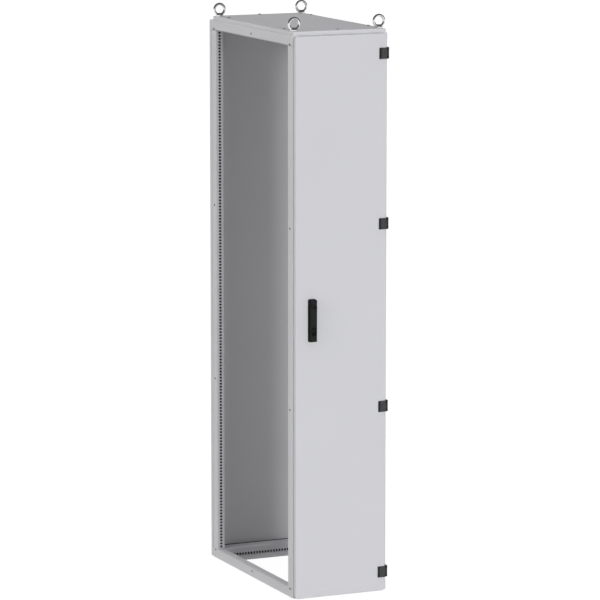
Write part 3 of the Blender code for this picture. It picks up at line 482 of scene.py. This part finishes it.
def profile(outlines, place, span, rows, blind=False):
    """Draws outlines along an axis, with holes punched through.

    A row is the two (outline, side) that its holes join, and the holes.  The ends are open,
    or with blind they are closed by the sheet.
    """
    mesh = bmesh.new()
    inside = mesh.verts.layers.float.new(PAINTED_SHADE)
    punched = {}
    for first, second, holes in rows:
        punched[first] = holes
        punched[second] = holes
    rims = {}
    ends = ([], [])
    for number, outline in enumerate(outlines):
        wall = SHEET if blind and number else 0.0
        levels = between(*span, wall)
        low, high = ([mesh.verts.new(place(a, b, level)) for a, b in outline] for level in levels)
        drawn = len(mesh.verts) - len(low) - len(high)
        for i in range(len(outline)):
            j = (i + 1) % len(outline)
            quad = (low[i], low[j], high[j], high[i])
            holes = punched.get((number, i))
            if holes:
                rims[(number, i)] = punch(mesh, place, outline[i], outline[j], quad, holes)
            else:
                mesh.faces.new(quad)
        # the inner skin is marked to get painted shade
        if number:
            mesh.verts.ensure_lookup_table()
            for vert in mesh.verts[drawn:]:
                vert[inside] = 1.0
        ends[0].append(low)
        ends[1].append(high)
    for first, second, holes in rows:
        for outer, inner in zip(rims[first], rims[second]):
            join(mesh, outer, inner)
    for loops in ends:
        if blind:
            for loop in loops:
                fill(mesh, [loop])
        else:
            fill(mesh, loops)
    return mesh


def inner_box(a_edges, b_edges):
    """The inside of a box section whose outside is given, corner by corner in the same order."""
    (a0, a1), (b0, b1) = a_edges, b_edges
    a_wall = math.copysign(SHEET, a1 - a0)
    b_wall = math.copysign(SHEET, b1 - b0)
    radius = BEND - SHEET
    return rounded([(a0 + a_wall, b0 + b_wall, radius), (a0 + a_wall, b1 - b_wall, radius),
                    (a1 - a_wall, b1 - b_wall, radius), (a1 - a_wall, b0 + b_wall, radius)])


def ends_of(end):
    """Face, forward direction and lip of the front or the rear of the frame."""
    return (FRONT_Y, -1, FRONT_LIP) if end == "front" else (BACK_Y, 1, REAR_LIP)


def post(side, end, hand):
    """Corner post: punched on both inner faces, with fixing holes in the side face."""
    node = "post_{}_{}".format(end, hand)
    low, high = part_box(node)
    span = (low.z, high.z)
    face, forward, lip = ends_of(end)
    inside = face - forward * PROFILE_DEPTH
    outer_x, rim_x = side * SIDE_X, side * OPENING_X
    rim_back = rim_x + side * SHEET
    lip_y = face + forward * lip
    outer = rounded([(outer_x, inside, BEND), (outer_x, face, BEND), (rim_back, face, HEM),
                     (rim_back, lip_y, HEM), (rim_x, lip_y, HEM), (rim_x, inside, BEND)])
    inner = inner_box((outer_x, rim_x), (inside, face))
    fixings = [round_hole(face - forward * FIXING_INSET, z)
               for z in (POST_FIXING_RISE, FRAME_TOP - POST_FIXING_RISE)]
    rows = [((0, side_of(0)), (1, side_of(0)), fixings),
            ((0, side_of(4)), (1, side_of(2)), row(face - forward * PROFILE_DEPTH / 2, span)),
            ((0, side_of(5)), (1, side_of(3)), row((outer_x + rim_x) / 2, span))]
    piece(node + "_profile", profile([outer, inner], along_z, span, rows), "powder_coat",
          "cabinet_frame", [node])


def side_rail(side, level, hand):
    """Rail along the depth: punched on its inner face, with fixing holes in the side face."""
    node = "{}_rail_{}".format(level, hand)
    low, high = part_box(node)
    outer_x, rim_x = side * SIDE_X, side * OPENING_X
    rim_z, outer_z = (high.z, low.z) if level == "base" else (low.z, high.z)
    away = 1 if level == "top" else -1
    outer = rounded([(outer_x, outer_z, BEND), (outer_x, rim_z, BEND), (rim_x, rim_z, BEND),
                     (rim_x, outer_z, BEND)])
    inner = inner_box((outer_x, rim_x), (outer_z, rim_z))
    fixings = [round_hole(rim_z + away * drop, y)
               for y, drop in ((FRONT_Y + FIXING_INSET, CORNER_FIXING_DROP),
                               (MIDDLE_Y, MIDDLE_FIXING_DROP),
                               (BACK_Y - FIXING_INSET, CORNER_FIXING_DROP))]
    span = between(FRONT_Y, BACK_Y, PROFILE_DEPTH)
    rows = [((0, side_of(0)), (1, side_of(0)), fixings),
            ((0, side_of(2)), (1, side_of(2)), row((rim_z + outer_z) / 2, span))]
    piece(node + "_profile", profile([outer, inner], along_y, (FRONT_Y, BACK_Y), rows, blind=True),
          "powder_coat", "cabinet_frame", [node])


def cross_rail(end, level):
    """Rail across the cabinet, with a punched row; a base rail also has a flange on the floor."""
    node = "{}_rail_{}".format(level, end)
    low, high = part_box(node)
    span = (low.x, high.x)
    face, forward, lip = ends_of(end)
    inside = face - forward * PROFILE_DEPTH
    base = level == "base"
    outer_z, rim_z = (low.z, high.z) if base else (high.z, low.z)
    up = 1 if base else -1
    lip_y = face + forward * lip
    corners = [(face, outer_z, BEND), (face, rim_z - up * SHEET, HEM), (lip_y, rim_z - up * SHEET, HEM),
               (lip_y, rim_z, HEM), (inside, rim_z, BEND)]
    if base:
        flange_end = low.y if end == "rear" else high.y
        corners += [(inside, SHEET, HEM), (flange_end, SHEET, HEM), (flange_end, 0, HEM)]
    else:
        corners += [(inside, outer_z, BEND)]
    inner = inner_box((face, inside), (outer_z, rim_z))
    holes = row(outer_z + up * FLOOR_ROW_RISE, span)
    rows = [((0, side_of(4)), (1, side_of(2)), holes)]
    piece(node + "_profile", profile([rounded(corners), inner], along_x, span, rows), "powder_coat",
          "cabinet_frame", [node])


def fixing_places():
    """Places of the fixing holes in a side face."""
    for y in (FRONT_Y + FIXING_INSET, BACK_Y - FIXING_INSET):
        yield y, RAIL_HIGH - CORNER_FIXING_DROP
        yield y, RAIL_LOW + CORNER_FIXING_DROP
        yield y, POST_FIXING_RISE
        yield y, FRAME_TOP - POST_FIXING_RISE
    yield MIDDLE_Y, RAIL_HIGH - MIDDLE_FIXING_DROP
    yield MIDDLE_Y, RAIL_LOW + MIDDLE_FIXING_DROP


RIVET_NUT_FLANGE = 0.0043
RIVET_NUT_PROUD = 0.0004
RIVET_NUT_BORE = 0.0029
RIVET_NUT_LENGTH = 0.011
RIVET_NUT_PLAY = 0.0002         # between the barrel and its hole
RIVET_NUT_SEAT = 0.0001         # the flange's foot, from the side face
RIVET_NUT_ROUND = 20


def rivet_nuts():
    """Threaded inserts in the fixing holes, pressed in from outside."""
    barrel = FIXING_RADIUS - RIVET_NUT_PLAY
    outline = [(RIVET_NUT_BORE, -RIVET_NUT_LENGTH), (barrel, -RIVET_NUT_LENGTH),
               (barrel, RIVET_NUT_SEAT), (RIVET_NUT_FLANGE, RIVET_NUT_SEAT),
               (RIVET_NUT_FLANGE, RIVET_NUT_PROUD / 2),
               (RIVET_NUT_FLANGE - RIVET_NUT_PROUD / 2, RIVET_NUT_PROUD),
               (RIVET_NUT_BORE + RIVET_NUT_PROUD, RIVET_NUT_PROUD), (RIVET_NUT_BORE, 0)]
    for side, hand in ((-1, "left"), (1, "right")):
        for number, (y, z) in enumerate(fixing_places(), 1):
            mesh = turned([(radius, side * height) for radius, height in outline],
                          (side * SIDE_X, y, z), along_x, endless=True, sides=RIVET_NUT_ROUND)
            piece("rivet_nut_{}_{}".format(hand, number), mesh, "dark_zinc", "cabinet_frame")


def make_frame():
    for side, hand in ((-1, "left"), (1, "right")):
        for level in ("base", "top"):
            side_rail(side, level, hand)
        for end in ("front", "rear"):
            post(side, end, hand)
    for end in ("front", "rear"):
        for level in ("base", "top"):
            cross_rail(end, level)
    rivet_nuts()


# ---------------------------------------------------------------- trays and seals
def tray(a_range, b_range, depth, place, corner, fold, holes=()):
    """A folded tray, open at its start and closed by a skin at its depth.

    depth is (start, end) along the tray's own direction; holes are (a, b, radius) in the skin.
    """
    start, end = depth
    toward = math.copysign(1, end - start)
    reach = abs(end - start)
    outer = [(0.0, 0.0)] + rounding(fold, 0.0, reach)
    inner = [(SHEET, 0.0)] + rounding(fold - SHEET, SHEET, reach - SHEET)
    mesh = bmesh.new()
    made = []
    for inset, height in inner[::-1] + outer:
        loop = rectangle(between(*a_range, inset), between(*b_range, inset), max(corner - inset, HEM))
        made.append([mesh.verts.new(place(a, b, start + toward * height)) for a, b in loop])
    for first, second in zip(made, made[1:]):
        join(mesh, first, second)
    rims = []
    for loop, height in ((made[0], reach - SHEET), (made[-1], reach)):
        level = start + toward * height
        skin = [[mesh.verts.new(place(a + u, b + v, level)) for u, v in circle(radius, HOLE_ROUND)]
                for a, b, radius in holes]
        fill(mesh, [loop] + skin)
        rims.append(skin)
    for inner_rim, outer_rim in zip(*rims):
        join(mesh, inner_rim, outer_rim)
    return mesh


PANEL_SCREW_INSET = 0.0165      # from the rear panel's edges
PANEL_SCREW_ROWS = 5
PANEL_SCREW_RADIUS = 0.0052
PANEL_SCREW_SUNK = 0.0003
PANEL_SCREW_PLAY = 0.0003       # between the head and its hole
PANEL_SCREW_SHANK = 0.0028
PANEL_SCREW_LENGTH = 0.0032
PANEL_SCREW_CONE = 0.0022       # depth at which the head's cone meets the shank
PANEL_SCREW_EDGE = 0.0004
PANEL_SCREW_RECESS = 0.0021
PANEL_SCREW_RECESS_DEPTH = 0.0018

LOBES = 6                       # of a driver recess
LOBE = 0.16                     # how far a lobe reaches, as a share of the recess's radius
RECESS_FLOOR = 0.94             # the same recess at its floor
RECESS_FLOOR_LOBE = 0.15


def panel_screw_places(low, high):
    """Along both upright edges of the rear panel."""
    rise = (high.z - low.z - 2 * PANEL_SCREW_INSET) / (PANEL_SCREW_ROWS - 1)
    for x in (low.x + PANEL_SCREW_INSET, high.x - PANEL_SCREW_INSET):
        for i in range(PANEL_SCREW_ROWS):
            yield x, low.z + PANEL_SCREW_INSET + i * rise


def lobed(radius, depth, sides=ROUND):
    """The outline of a six-lobed driver recess."""
    points = []
    for a, b in circle(1.0, sides):
        reach = radius + depth * math.cos(LOBES * math.atan2(b, a))
        points.append((a * reach, b * reach))
    return points


def screw_head(centre, place, profile_points, recess, recess_depth):
    """A screw's head over a (radius, height) profile, with a six-lobed recess in its top."""
    top = profile_points[-1][1]
    loops = [(circle(radius), height) for radius, height in profile_points]
    loops += [(lobed(recess, recess * LOBE), top),
              (lobed(recess * RECESS_FLOOR, recess * RECESS_FLOOR_LOBE), top - recess_depth)]
    return stack([[Vector(place(a, b, height)) + Vector(centre) for a, b in loop]
                  for loop, height in loops])


def rear_panel():
    low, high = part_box("rear_panel")
    places = list(panel_screw_places(low, high))
    mesh = tray((low.x, high.x), (low.z, high.z), (low.y, high.y), along_y, PANEL_CORNER, PANEL_FOLD,
                [(x, z, PANEL_SCREW_RADIUS) for x, z in places])
    piece("rear_panel_sheet", mesh, "powder_coat", "cabinet_frame", ["rear_panel"])
    head = PANEL_SCREW_RADIUS - PANEL_SCREW_PLAY
    flat = [(PANEL_SCREW_SHANK, -PANEL_SCREW_LENGTH), (PANEL_SCREW_SHANK, -PANEL_SCREW_CONE),
            (head, -PANEL_SCREW_EDGE), (head, 0.0)]
    for number, (x, z) in enumerate(places, 1):
        mesh = screw_head((x, high.y - PANEL_SCREW_SUNK, z), along_y, flat,
                          PANEL_SCREW_RECESS, PANEL_SCREW_RECESS_DEPTH)
        piece("rear_panel_screw_{}".format(number), mesh, "zinc_plate", "cabinet_frame")


def door_panel():
    low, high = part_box("door_panel")
    mesh = tray((low.x, high.x), (low.z, high.z), (high.y, low.y), along_y, DOOR_CORNER, DOOR_FOLD)
    piece("door_sheet", mesh, "powder_coat", "door", ["door_panel"])


def roof_panel():
    mesh = tray((ROOF_LOW.x, ROOF_HIGH.x), (ROOF_LOW.y, ROOF_HIGH.y), (ROOF_LOW.z, ROOF_HIGH.z),
                along_z, ROOF_CORNER, ROOF_FOLD)
    piece("roof_sheet", mesh, "powder_coat", "cabinet_frame", ["roof_panel"])


SEAL_CORNER = 0.016
SEAL_BEAD = 0.0035              # half width of the foamed bead
SEAL_EDGE = 0.0012              # its outer edge, from the edge of the poured strip
SEAL_DOME = 0.6                 # 1 is a half ellipse, and less is flatter on top
SEAL_STEPS = 8


def seal(node, body, base_y, crown_y):
    """A foamed bead: flat where it is poured, domed toward the frame's lip."""
    low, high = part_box(node)
    rise = crown_y - base_y
    outline = [(SEAL_BEAD * math.cos(turn), max(math.sin(turn), 0.0) ** SEAL_DOME)
               for turn in (math.pi * i / SEAL_STEPS for i in range(SEAL_STEPS + 1))]
    loops = []
    for offset, share in outline:
        inset = SEAL_EDGE + SEAL_BEAD - offset
        loop = rectangle(between(low.x, high.x, inset), between(low.z, high.z, inset),
                         SEAL_CORNER - inset)
        loops.append([(x, base_y + rise * share, z) for x, z in loop])
    piece(node + "_bead", stack(loops, endless=True), "seal_foam", body, [node])


def make_seals():
    low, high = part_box("door_seal")
    seal("door_seal", "door", low.y, high.y)
    low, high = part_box("rear_seal")
    seal("rear_seal", "cabinet_frame", high.y, low.y)


# ---------------------------------------------------------------- roof fittings
ROOF_SCREWS = 6
HEAD_EDGE = 0.0012
HEAD_RECESS = 0.0024
HEAD_RECESS_DEPTH = 0.6         # as a share of the head's height
HEAD_GAP = 0.0003               # under the head


def roof_screws():
    for number in range(1, ROOF_SCREWS + 1):
        node = "roof_screw_{}".format(number)
        low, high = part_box(node)
        centre = ((low.x + high.x) / 2, (low.y + high.y) / 2, ROOF_HIGH.z)
        head = (high.x - low.x) / 2
        height = high.z - ROOF_HIGH.z
        crown = [(head - inset, level) for inset, level in rounding(HEAD_EDGE, 0.0, height)]
        mesh = screw_head(centre, along_z, [(head, HEAD_GAP)] + crown, HEAD_RECESS,
                          height * HEAD_RECESS_DEPTH)
        piece(node + "_head", mesh, "zinc_plate", "cabinet_frame", [node])


COLLAR_RADIUS = 0.015
COLLAR_HEIGHT = 0.006
COLLAR_EDGE = 0.0012
NECK_RADIUS = 0.0100
NECK_FLARE = 0.0030
NECK_RISE = 0.0025
NECK_CROWN = 0.0040
RING_RADIUS = 0.0215
RING_WIRE = 0.0052
RING_STEPS = 64
WIRE_STEPS = 20
SHANK_RADIUS = 0.006
SHANK_LENGTH = 0.0305
SHANK_RELIEF = 0.002            # plain shank under the collar
THREAD_PITCH = 0.00175
THREAD_DEPTH = 0.0009
FLARE_STEPS = 4
EYEBOLT_FOOT = ROOF_HIGH.z + 0.0003
RING_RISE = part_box("eyebolt_front_left")[1].z - EYEBOLT_FOOT - RING_RADIUS - RING_WIRE


def threaded(radius, low, high):
    """(radius, height) points of a thread cut as close grooves, from low to high."""
    points = [(radius - THREAD_DEPTH, low)]
    count = int((high - low) / THREAD_PITCH)
    for i in range(count):
        points.append((radius, low + (i + 0.5) * THREAD_PITCH))
        points.append((radius - THREAD_DEPTH, low + (i + 1) * THREAD_PITCH))
    return points


def merged(first, second):
    """One closed mesh from two that cross."""
    made = []
    for mesh in (first, second):
        bmesh.ops.recalc_face_normals(mesh, faces=mesh.faces)
        data = bpy.data.meshes.new("part")
        mesh.to_mesh(data)
        mesh.free()
        item = bpy.data.objects.new("part", data)
        bpy.context.collection.objects.link(item)
        made.append(item)
    union = made[0].modifiers.new("union", "BOOLEAN")
    union.operation = "UNION"
    union.object = made[1]
    bpy.context.view_layer.update()
    evaluated = made[0].evaluated_get(bpy.context.evaluated_depsgraph_get())
    result = bpy.data.meshes.new_from_object(evaluated)
    for item in made:
        bpy.data.objects.remove(item)
    return result


def eyebolt_mesh():
    """Collar, flared neck and ring, with the ring across the cabinet; the collar's foot is at zero."""
    collar = [(COLLAR_RADIUS - inset, height)
              for inset, height in rounding(COLLAR_EDGE, 0.0, COLLAR_HEIGHT)]
    flare = [(NECK_RADIUS + NECK_FLARE * (1 - step / FLARE_STEPS) ** 2,
              COLLAR_HEIGHT + NECK_RISE * step / FLARE_STEPS) for step in range(FLARE_STEPS + 1)]
    flare += [(NECK_RADIUS - inset, COLLAR_HEIGHT + NECK_RISE + height)
              for inset, height in rounding(NECK_CROWN, 0.0, NECK_CROWN)]
    stem = threaded(SHANK_RADIUS, -SHANK_LENGTH, -SHANK_RELIEF)
    stem += [(SHANK_RADIUS, 0.0), (COLLAR_RADIUS, 0.0)]
    body = turned(stem + collar + flare, (0, 0, 0), along_z)
    loops = []
    for i in range(RING_STEPS):
        turn = 2 * math.pi * i / RING_STEPS
        loops.append([((RING_RADIUS + out) * math.cos(turn), along,
                       RING_RISE + (RING_RADIUS + out) * math.sin(turn))
                      for out, along in circle(RING_WIRE, WIRE_STEPS)])
    return merged(body, stack(loops, endless=True))


def eyebolts():
    mesh = eyebolt_mesh()
    for end in ("front", "rear"):
        for hand in ("left", "right"):
            node = "eyebolt_{}_{}".format(end, hand)
            low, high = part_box(node)
            place = ((low.x + high.x) / 2, (low.y + high.y) / 2, EYEBOLT_FOOT)
            piece_of(node + "_forged", mesh.copy(), "bright_steel", "cabinet_frame", [node], place)


# ---------------------------------------------------------------- machined and cast pieces
DOUBLE = 1e-6                   # points nearer than this are one point
FLAT_ANGLE = 1                  # degrees: flatter edges go, so that each flat side is one face


def eased(node, slot, width, segments=2, inside=0.0):
    """A node's own shape with its edges eased."""
    data = frame["nodes"][node].data.copy()
    mesh = bmesh.new()
    mesh.from_mesh(data)
    # inside is how much painted shade every vertex gets
    layer = mesh.verts.layers.float.new(PAINTED_SHADE)
    for vert in mesh.verts:
        vert[layer] = inside
    bmesh.ops.remove_doubles(mesh, verts=mesh.verts, dist=DOUBLE)
    bmesh.ops.dissolve_limit(mesh, angle_limit=math.radians(FLAT_ANGLE), verts=mesh.verts,
                             edges=mesh.edges)
    mesh.to_mesh(data)
    mesh.free()
    made = piece_of(node + "_eased", data, slot, BODY_OF[node], [node])
    bevel = made.modifiers.new("eased edges", "BEVEL")
    bevel.width = width
    bevel.segments = segments
    bevel.limit_method = "ANGLE"
    bevel.angle_limit = math.radians(EASED_ANGLE)
    made.modifiers.move(1, 0)   # ahead of the even shading
    return made


def make_hinges():
    for number in range(1, 5):
        # the frame leaves get painted shade
        eased("hinge_frame_leaf_{}".format(number), "black_hinge", 0.0006, inside=1.0)
        eased("hinge_door_leaf_{}".format(number), "black_hinge", 0.0005)
        eased("hinge_pin_{}".format(number), "zinc_plate", 0.0002)


LOCK_SURROUND = ((-0.0096, 0.0096), (-0.022, 0.0100))   # about the lock cylinder's centre
LOCK_SURROUND_CORNER = 0.0035
LOCK_SURROUND_PROUD = 0.0005
LOCK_SURROUND_GAP = 0.0004


def lock_surround():
    """A thin plate round the lock cylinder, on the lever's face."""
    low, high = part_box("lock_cylinder")
    x, z = (low.x + high.x) / 2, (low.z + high.z) / 2
    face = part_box("handle_lever")[0].y
    hole = circle((high.x - low.x) / 2 + LOCK_SURROUND_GAP)
    mesh = bmesh.new()
    outer, inner = [], []
    for level in (face + LOCK_SURROUND_PROUD, face - LOCK_SURROUND_PROUD):
        outer.append([mesh.verts.new((x + a, level, z + b))
                      for a, b in rectangle(*LOCK_SURROUND, LOCK_SURROUND_CORNER)])
        inner.append([mesh.verts.new((x + a, level, z + b)) for a, b in hole])
        fill(mesh, [outer[-1], inner[-1]])
    join(mesh, *outer)
    join(mesh, *inner)
    # the whole surround gets painted shade
    layer = mesh.verts.layers.float.new(PAINTED_SHADE)
    for vert in mesh.verts:
        vert[layer] = 1.0
    piece("lock_surround", mesh, "black_handle", "handle_lever")


def make_handle():
    eased("handle_housing", "black_handle", 0.0012, 3)
    eased("handle_hub", "black_handle", 0.0006)
    eased("handle_lever", "black_handle", 0.0006)
    eased("handle_pivot_pin", "zinc_plate", 0.0002)
    eased("lock_cylinder", "dark_zinc", 0.0004)
    lock_surround()


def make_lock():
    for node in ("lock_rod_upper", "lock_rod_lower", "lock_case", "drive_pinion"):
        eased(node, "zinc_plate", 0.0002, 1)
    for node in ("rod_guide_upper", "rod_guide_lower"):
        eased(node, "black_handle", 0.0006)
    for end in ("front", "rear"):
        for hand in ("left", "right"):
            eased("lifting_sleeve_{}_{}".format(end, hand), "zinc_plate", 0.0002, 1)


STIFFENER_SHEET = 0.0015
STIFFENER_BEND = 0.0024
STIFFENER_PITCH = 0.025
STIFFENER_HOLE = 0.0034


def door_stiffener(node):
    """A channel up the inside of the door, with a row of holes along its back."""
    low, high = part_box(node)
    wall, bend = STIFFENER_SHEET, STIFFENER_BEND
    edge = wall / 3
    outline = rounded([(low.x, low.y, edge), (low.x, high.y, bend), (high.x, high.y, bend),
                       (high.x, low.y, edge), (high.x - wall, low.y, edge),
                       (high.x - wall, high.y - wall, bend - wall),
                       (low.x + wall, high.y - wall, bend - wall), (low.x + wall, low.y, edge)])
    holes = row((low.x + high.x) / 2, (low.z, high.z), STIFFENER_PITCH,
                lambda across, along: round_hole(across, along, STIFFENER_HOLE))
    mesh = profile([outline], along_z, (low.z, high.z), [((0, side_of(1)), (0, side_of(5)), holes)])
    piece(node + "_channel", mesh, "zinc_plate", "door", [node])


STUD_COLLAR_HEIGHT = 0.005
STUD_COLLAR_EDGE = 0.0006
STUD_ROOT = 0.0034
STUD_RADIUS = 0.004
STUD_THREAD_START = 0.0052
STUD_TIP = 0.0005               # plain metal past the last thread


def earth_stud():
    """A threaded brass stud on a plain collar."""
    low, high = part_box("earth_stud")
    centre = ((low.x + high.x) / 2, (low.y + high.y) / 2, low.z)
    length = high.z - low.z
    collar = (high.x - low.x) / 2
    foot = [(collar, 0.0), (collar, STUD_COLLAR_HEIGHT - STUD_COLLAR_EDGE),
            (collar - STUD_COLLAR_EDGE, STUD_COLLAR_HEIGHT), (STUD_ROOT, STUD_COLLAR_HEIGHT)]
    mesh = turned(foot + threaded(STUD_RADIUS, STUD_THREAD_START, length - STUD_TIP), centre, along_z)
    piece("earth_stud_turned", mesh, "brass", "cabinet_frame", ["earth_stud"])


# ---------------------------------------------------------------- floor, light and camera
FLOOR_REACH = 90.0
FLOOR_WHITE = 0.58              # the floor's reflectance in the light it throws back
FLOOR_SHADOW = 0.20             # share of the seen floor that takes a shadow
FLOOR_LIGHT = 0.50              # the light that falls on the open floor


def floor():
    mesh = bmesh.new()
    corners = [(-FLOOR_REACH, -FLOOR_REACH), (FLOOR_REACH, -FLOOR_REACH), (FLOOR_REACH, FLOOR_REACH),
               (-FLOOR_REACH, FLOOR_REACH)]
    mesh.faces.new([mesh.verts.new((x, y, 0)) for x, y in corners])
    data = bpy.data.meshes.new("studio_floor")
    mesh.to_mesh(data)
    mesh.free()
    material = bpy.data.materials.new("studio_floor")
    material.use_nodes = True
    nodes = Nodes(material.node_tree)
    seen = seen_directly(nodes)
    bounced = nodes.node("ShaderNodeBsdfDiffuse", {}, {"Color": grey(FLOOR_WHITE)})
    shadow = nodes.node("ShaderNodeBsdfDiffuse", {}, {"Color": grey(FLOOR_SHADOW)})
    glow = nodes.node("ShaderNodeEmission", {},
                      {"Color": grey(1.0), "Strength": 1.0 - FLOOR_SHADOW * FLOOR_LIGHT})
    shown = nodes.node("ShaderNodeAddShader", {}, {0: shadow, 1: glow})
    surface = nodes.node("ShaderNodeMixShader", {}, {0: seen, 1: bounced, 2: shown})
    nodes.node("ShaderNodeOutputMaterial", {}, {"Surface": surface})
    data.materials.append(material)
    made = bpy.data.objects.new("studio_floor", data)
    bpy.context.collection.objects.link(made)


def seen_directly(nodes):
    """1 for what is seen by eye, in a reflection or through something clear."""
    camera, glossy, clear = (nodes.node("ShaderNodeLightPath", output=ray) for ray in
                             ("Is Camera Ray", "Is Glossy Ray", "Is Transmission Ray"))
    return camera.at_least(glossy).at_least(clear)


AMBIENT = 0.25                  # soft light from all round
CEILING = 0.08                  # brightness of the ceiling and the screen in a reflection
CEILING_SLOPE = 6.0             # how soon the ceiling is that dark, above the horizon
SCREEN = 0.10                   # where the dark screen on the right begins
SCREEN_SLOPE = 4.0              # how soon it is that dark


def surroundings():
    world = bpy.data.worlds.new("studio")
    bpy.context.scene.world = world
    world.use_nodes = True
    nodes = Nodes(world.node_tree)
    seen = seen_directly(nodes)
    camera = nodes.node("ShaderNodeLightPath", output="Is Camera Ray")
    direction = nodes.node("ShaderNodeTexCoord", output="Generated")
    height = nodes.node("ShaderNodeSeparateXYZ", {}, {0: direction}, "Z")
    right = nodes.node("ShaderNodeSeparateXYZ", {}, {0: direction}, "X")
    ceiling = (height.at_least(0.0) * CEILING_SLOPE).at_most(1.0)
    screen = ((right - SCREEN).at_least(0.0) * SCREEN_SLOPE).at_most(1.0)
    studio = 1.0 - ceiling.at_least(screen) * (1.0 - CEILING)
    strength = seen * studio.at_least(camera) + (1.0 - seen) * AMBIENT
    shader = nodes.node("ShaderNodeBackground", {}, {"Color": grey(1.0), "Strength": strength})
    nodes.node("ShaderNodeOutputWorld", {}, {"Surface": shader})


# Each lamp: where it stands, how strongly it lights a face square to it (1 shows a colour as it
# is written), how wide it looks, in degrees, and its colour.  Metal reflects the studio instead.
LAMPS = {
    "front_lamp": ((0.03, -1.0, 0.18), 0.612, 18, (0.985, 0.99, 1.0)),
    "left_lamp": ((-1.0, -0.15, 0.25), 0.275, 30, (1.0, 0.99, 0.955)),
    "right_lamp": ((1.0, 0.25, 0.25), 0.18, 40, (1.0, 1.0, 1.0)),
    "back_lamp": ((-0.5, 1.0, 0.40), 0.24, 40, (1.0, 1.0, 1.0)),
    "top_lamp": ((-0.1, -0.1, 1.0), 0.19, 60, (1.0, 0.99, 0.975)),
}


def lamps():
    for name, (stand, strength, width, colour) in LAMPS.items():
        light = bpy.data.lights.new(name, "SUN")
        light.energy = strength * math.pi
        light.angle = math.radians(width)
        light.color = colour
        made = bpy.data.objects.new(name, light)
        bpy.context.collection.objects.link(made)
        made.rotation_euler = Vector(stand).to_track_quat("Z", "Y").to_euler()
        made.visible_glossy = False


CAMERA_PLACE = (-6.0122, FRONT_Y - 13.1343, 3.4925)
CAMERA_TURN = 23.9857           # degrees to the right of straight back
CAMERA_DIP = 9.1429
CAMERA_LENS = 226.52            # millimetres, on a sensor 36 mm wide


def camera():
    data = bpy.data.cameras.new("camera")
    data.lens = CAMERA_LENS
    data.clip_end = 3 * FLOOR_REACH
    made = bpy.data.objects.new("camera", data)
    bpy.context.collection.objects.link(made)
    made.location = CAMERA_PLACE
    made.rotation_euler = (math.radians(90 - CAMERA_DIP), 0, math.radians(-CAMERA_TURN))
    bpy.context.scene.camera = made
    bpy.context.scene.view_settings.view_transform = "Standard"


# ---------------------------------------------------------------- the cabinet
make_frame()
rear_panel()
door_panel()
roof_panel()
make_seals()
roof_screws()
eyebolts()
make_hinges()
make_handle()
make_lock()
for stiffener in ("door_stiffener_latch_side", "door_stiffener_hinge_side"):
    door_stiffener(stiffener)
earth_stud()
floor()
surroundings()
lamps()
camera()
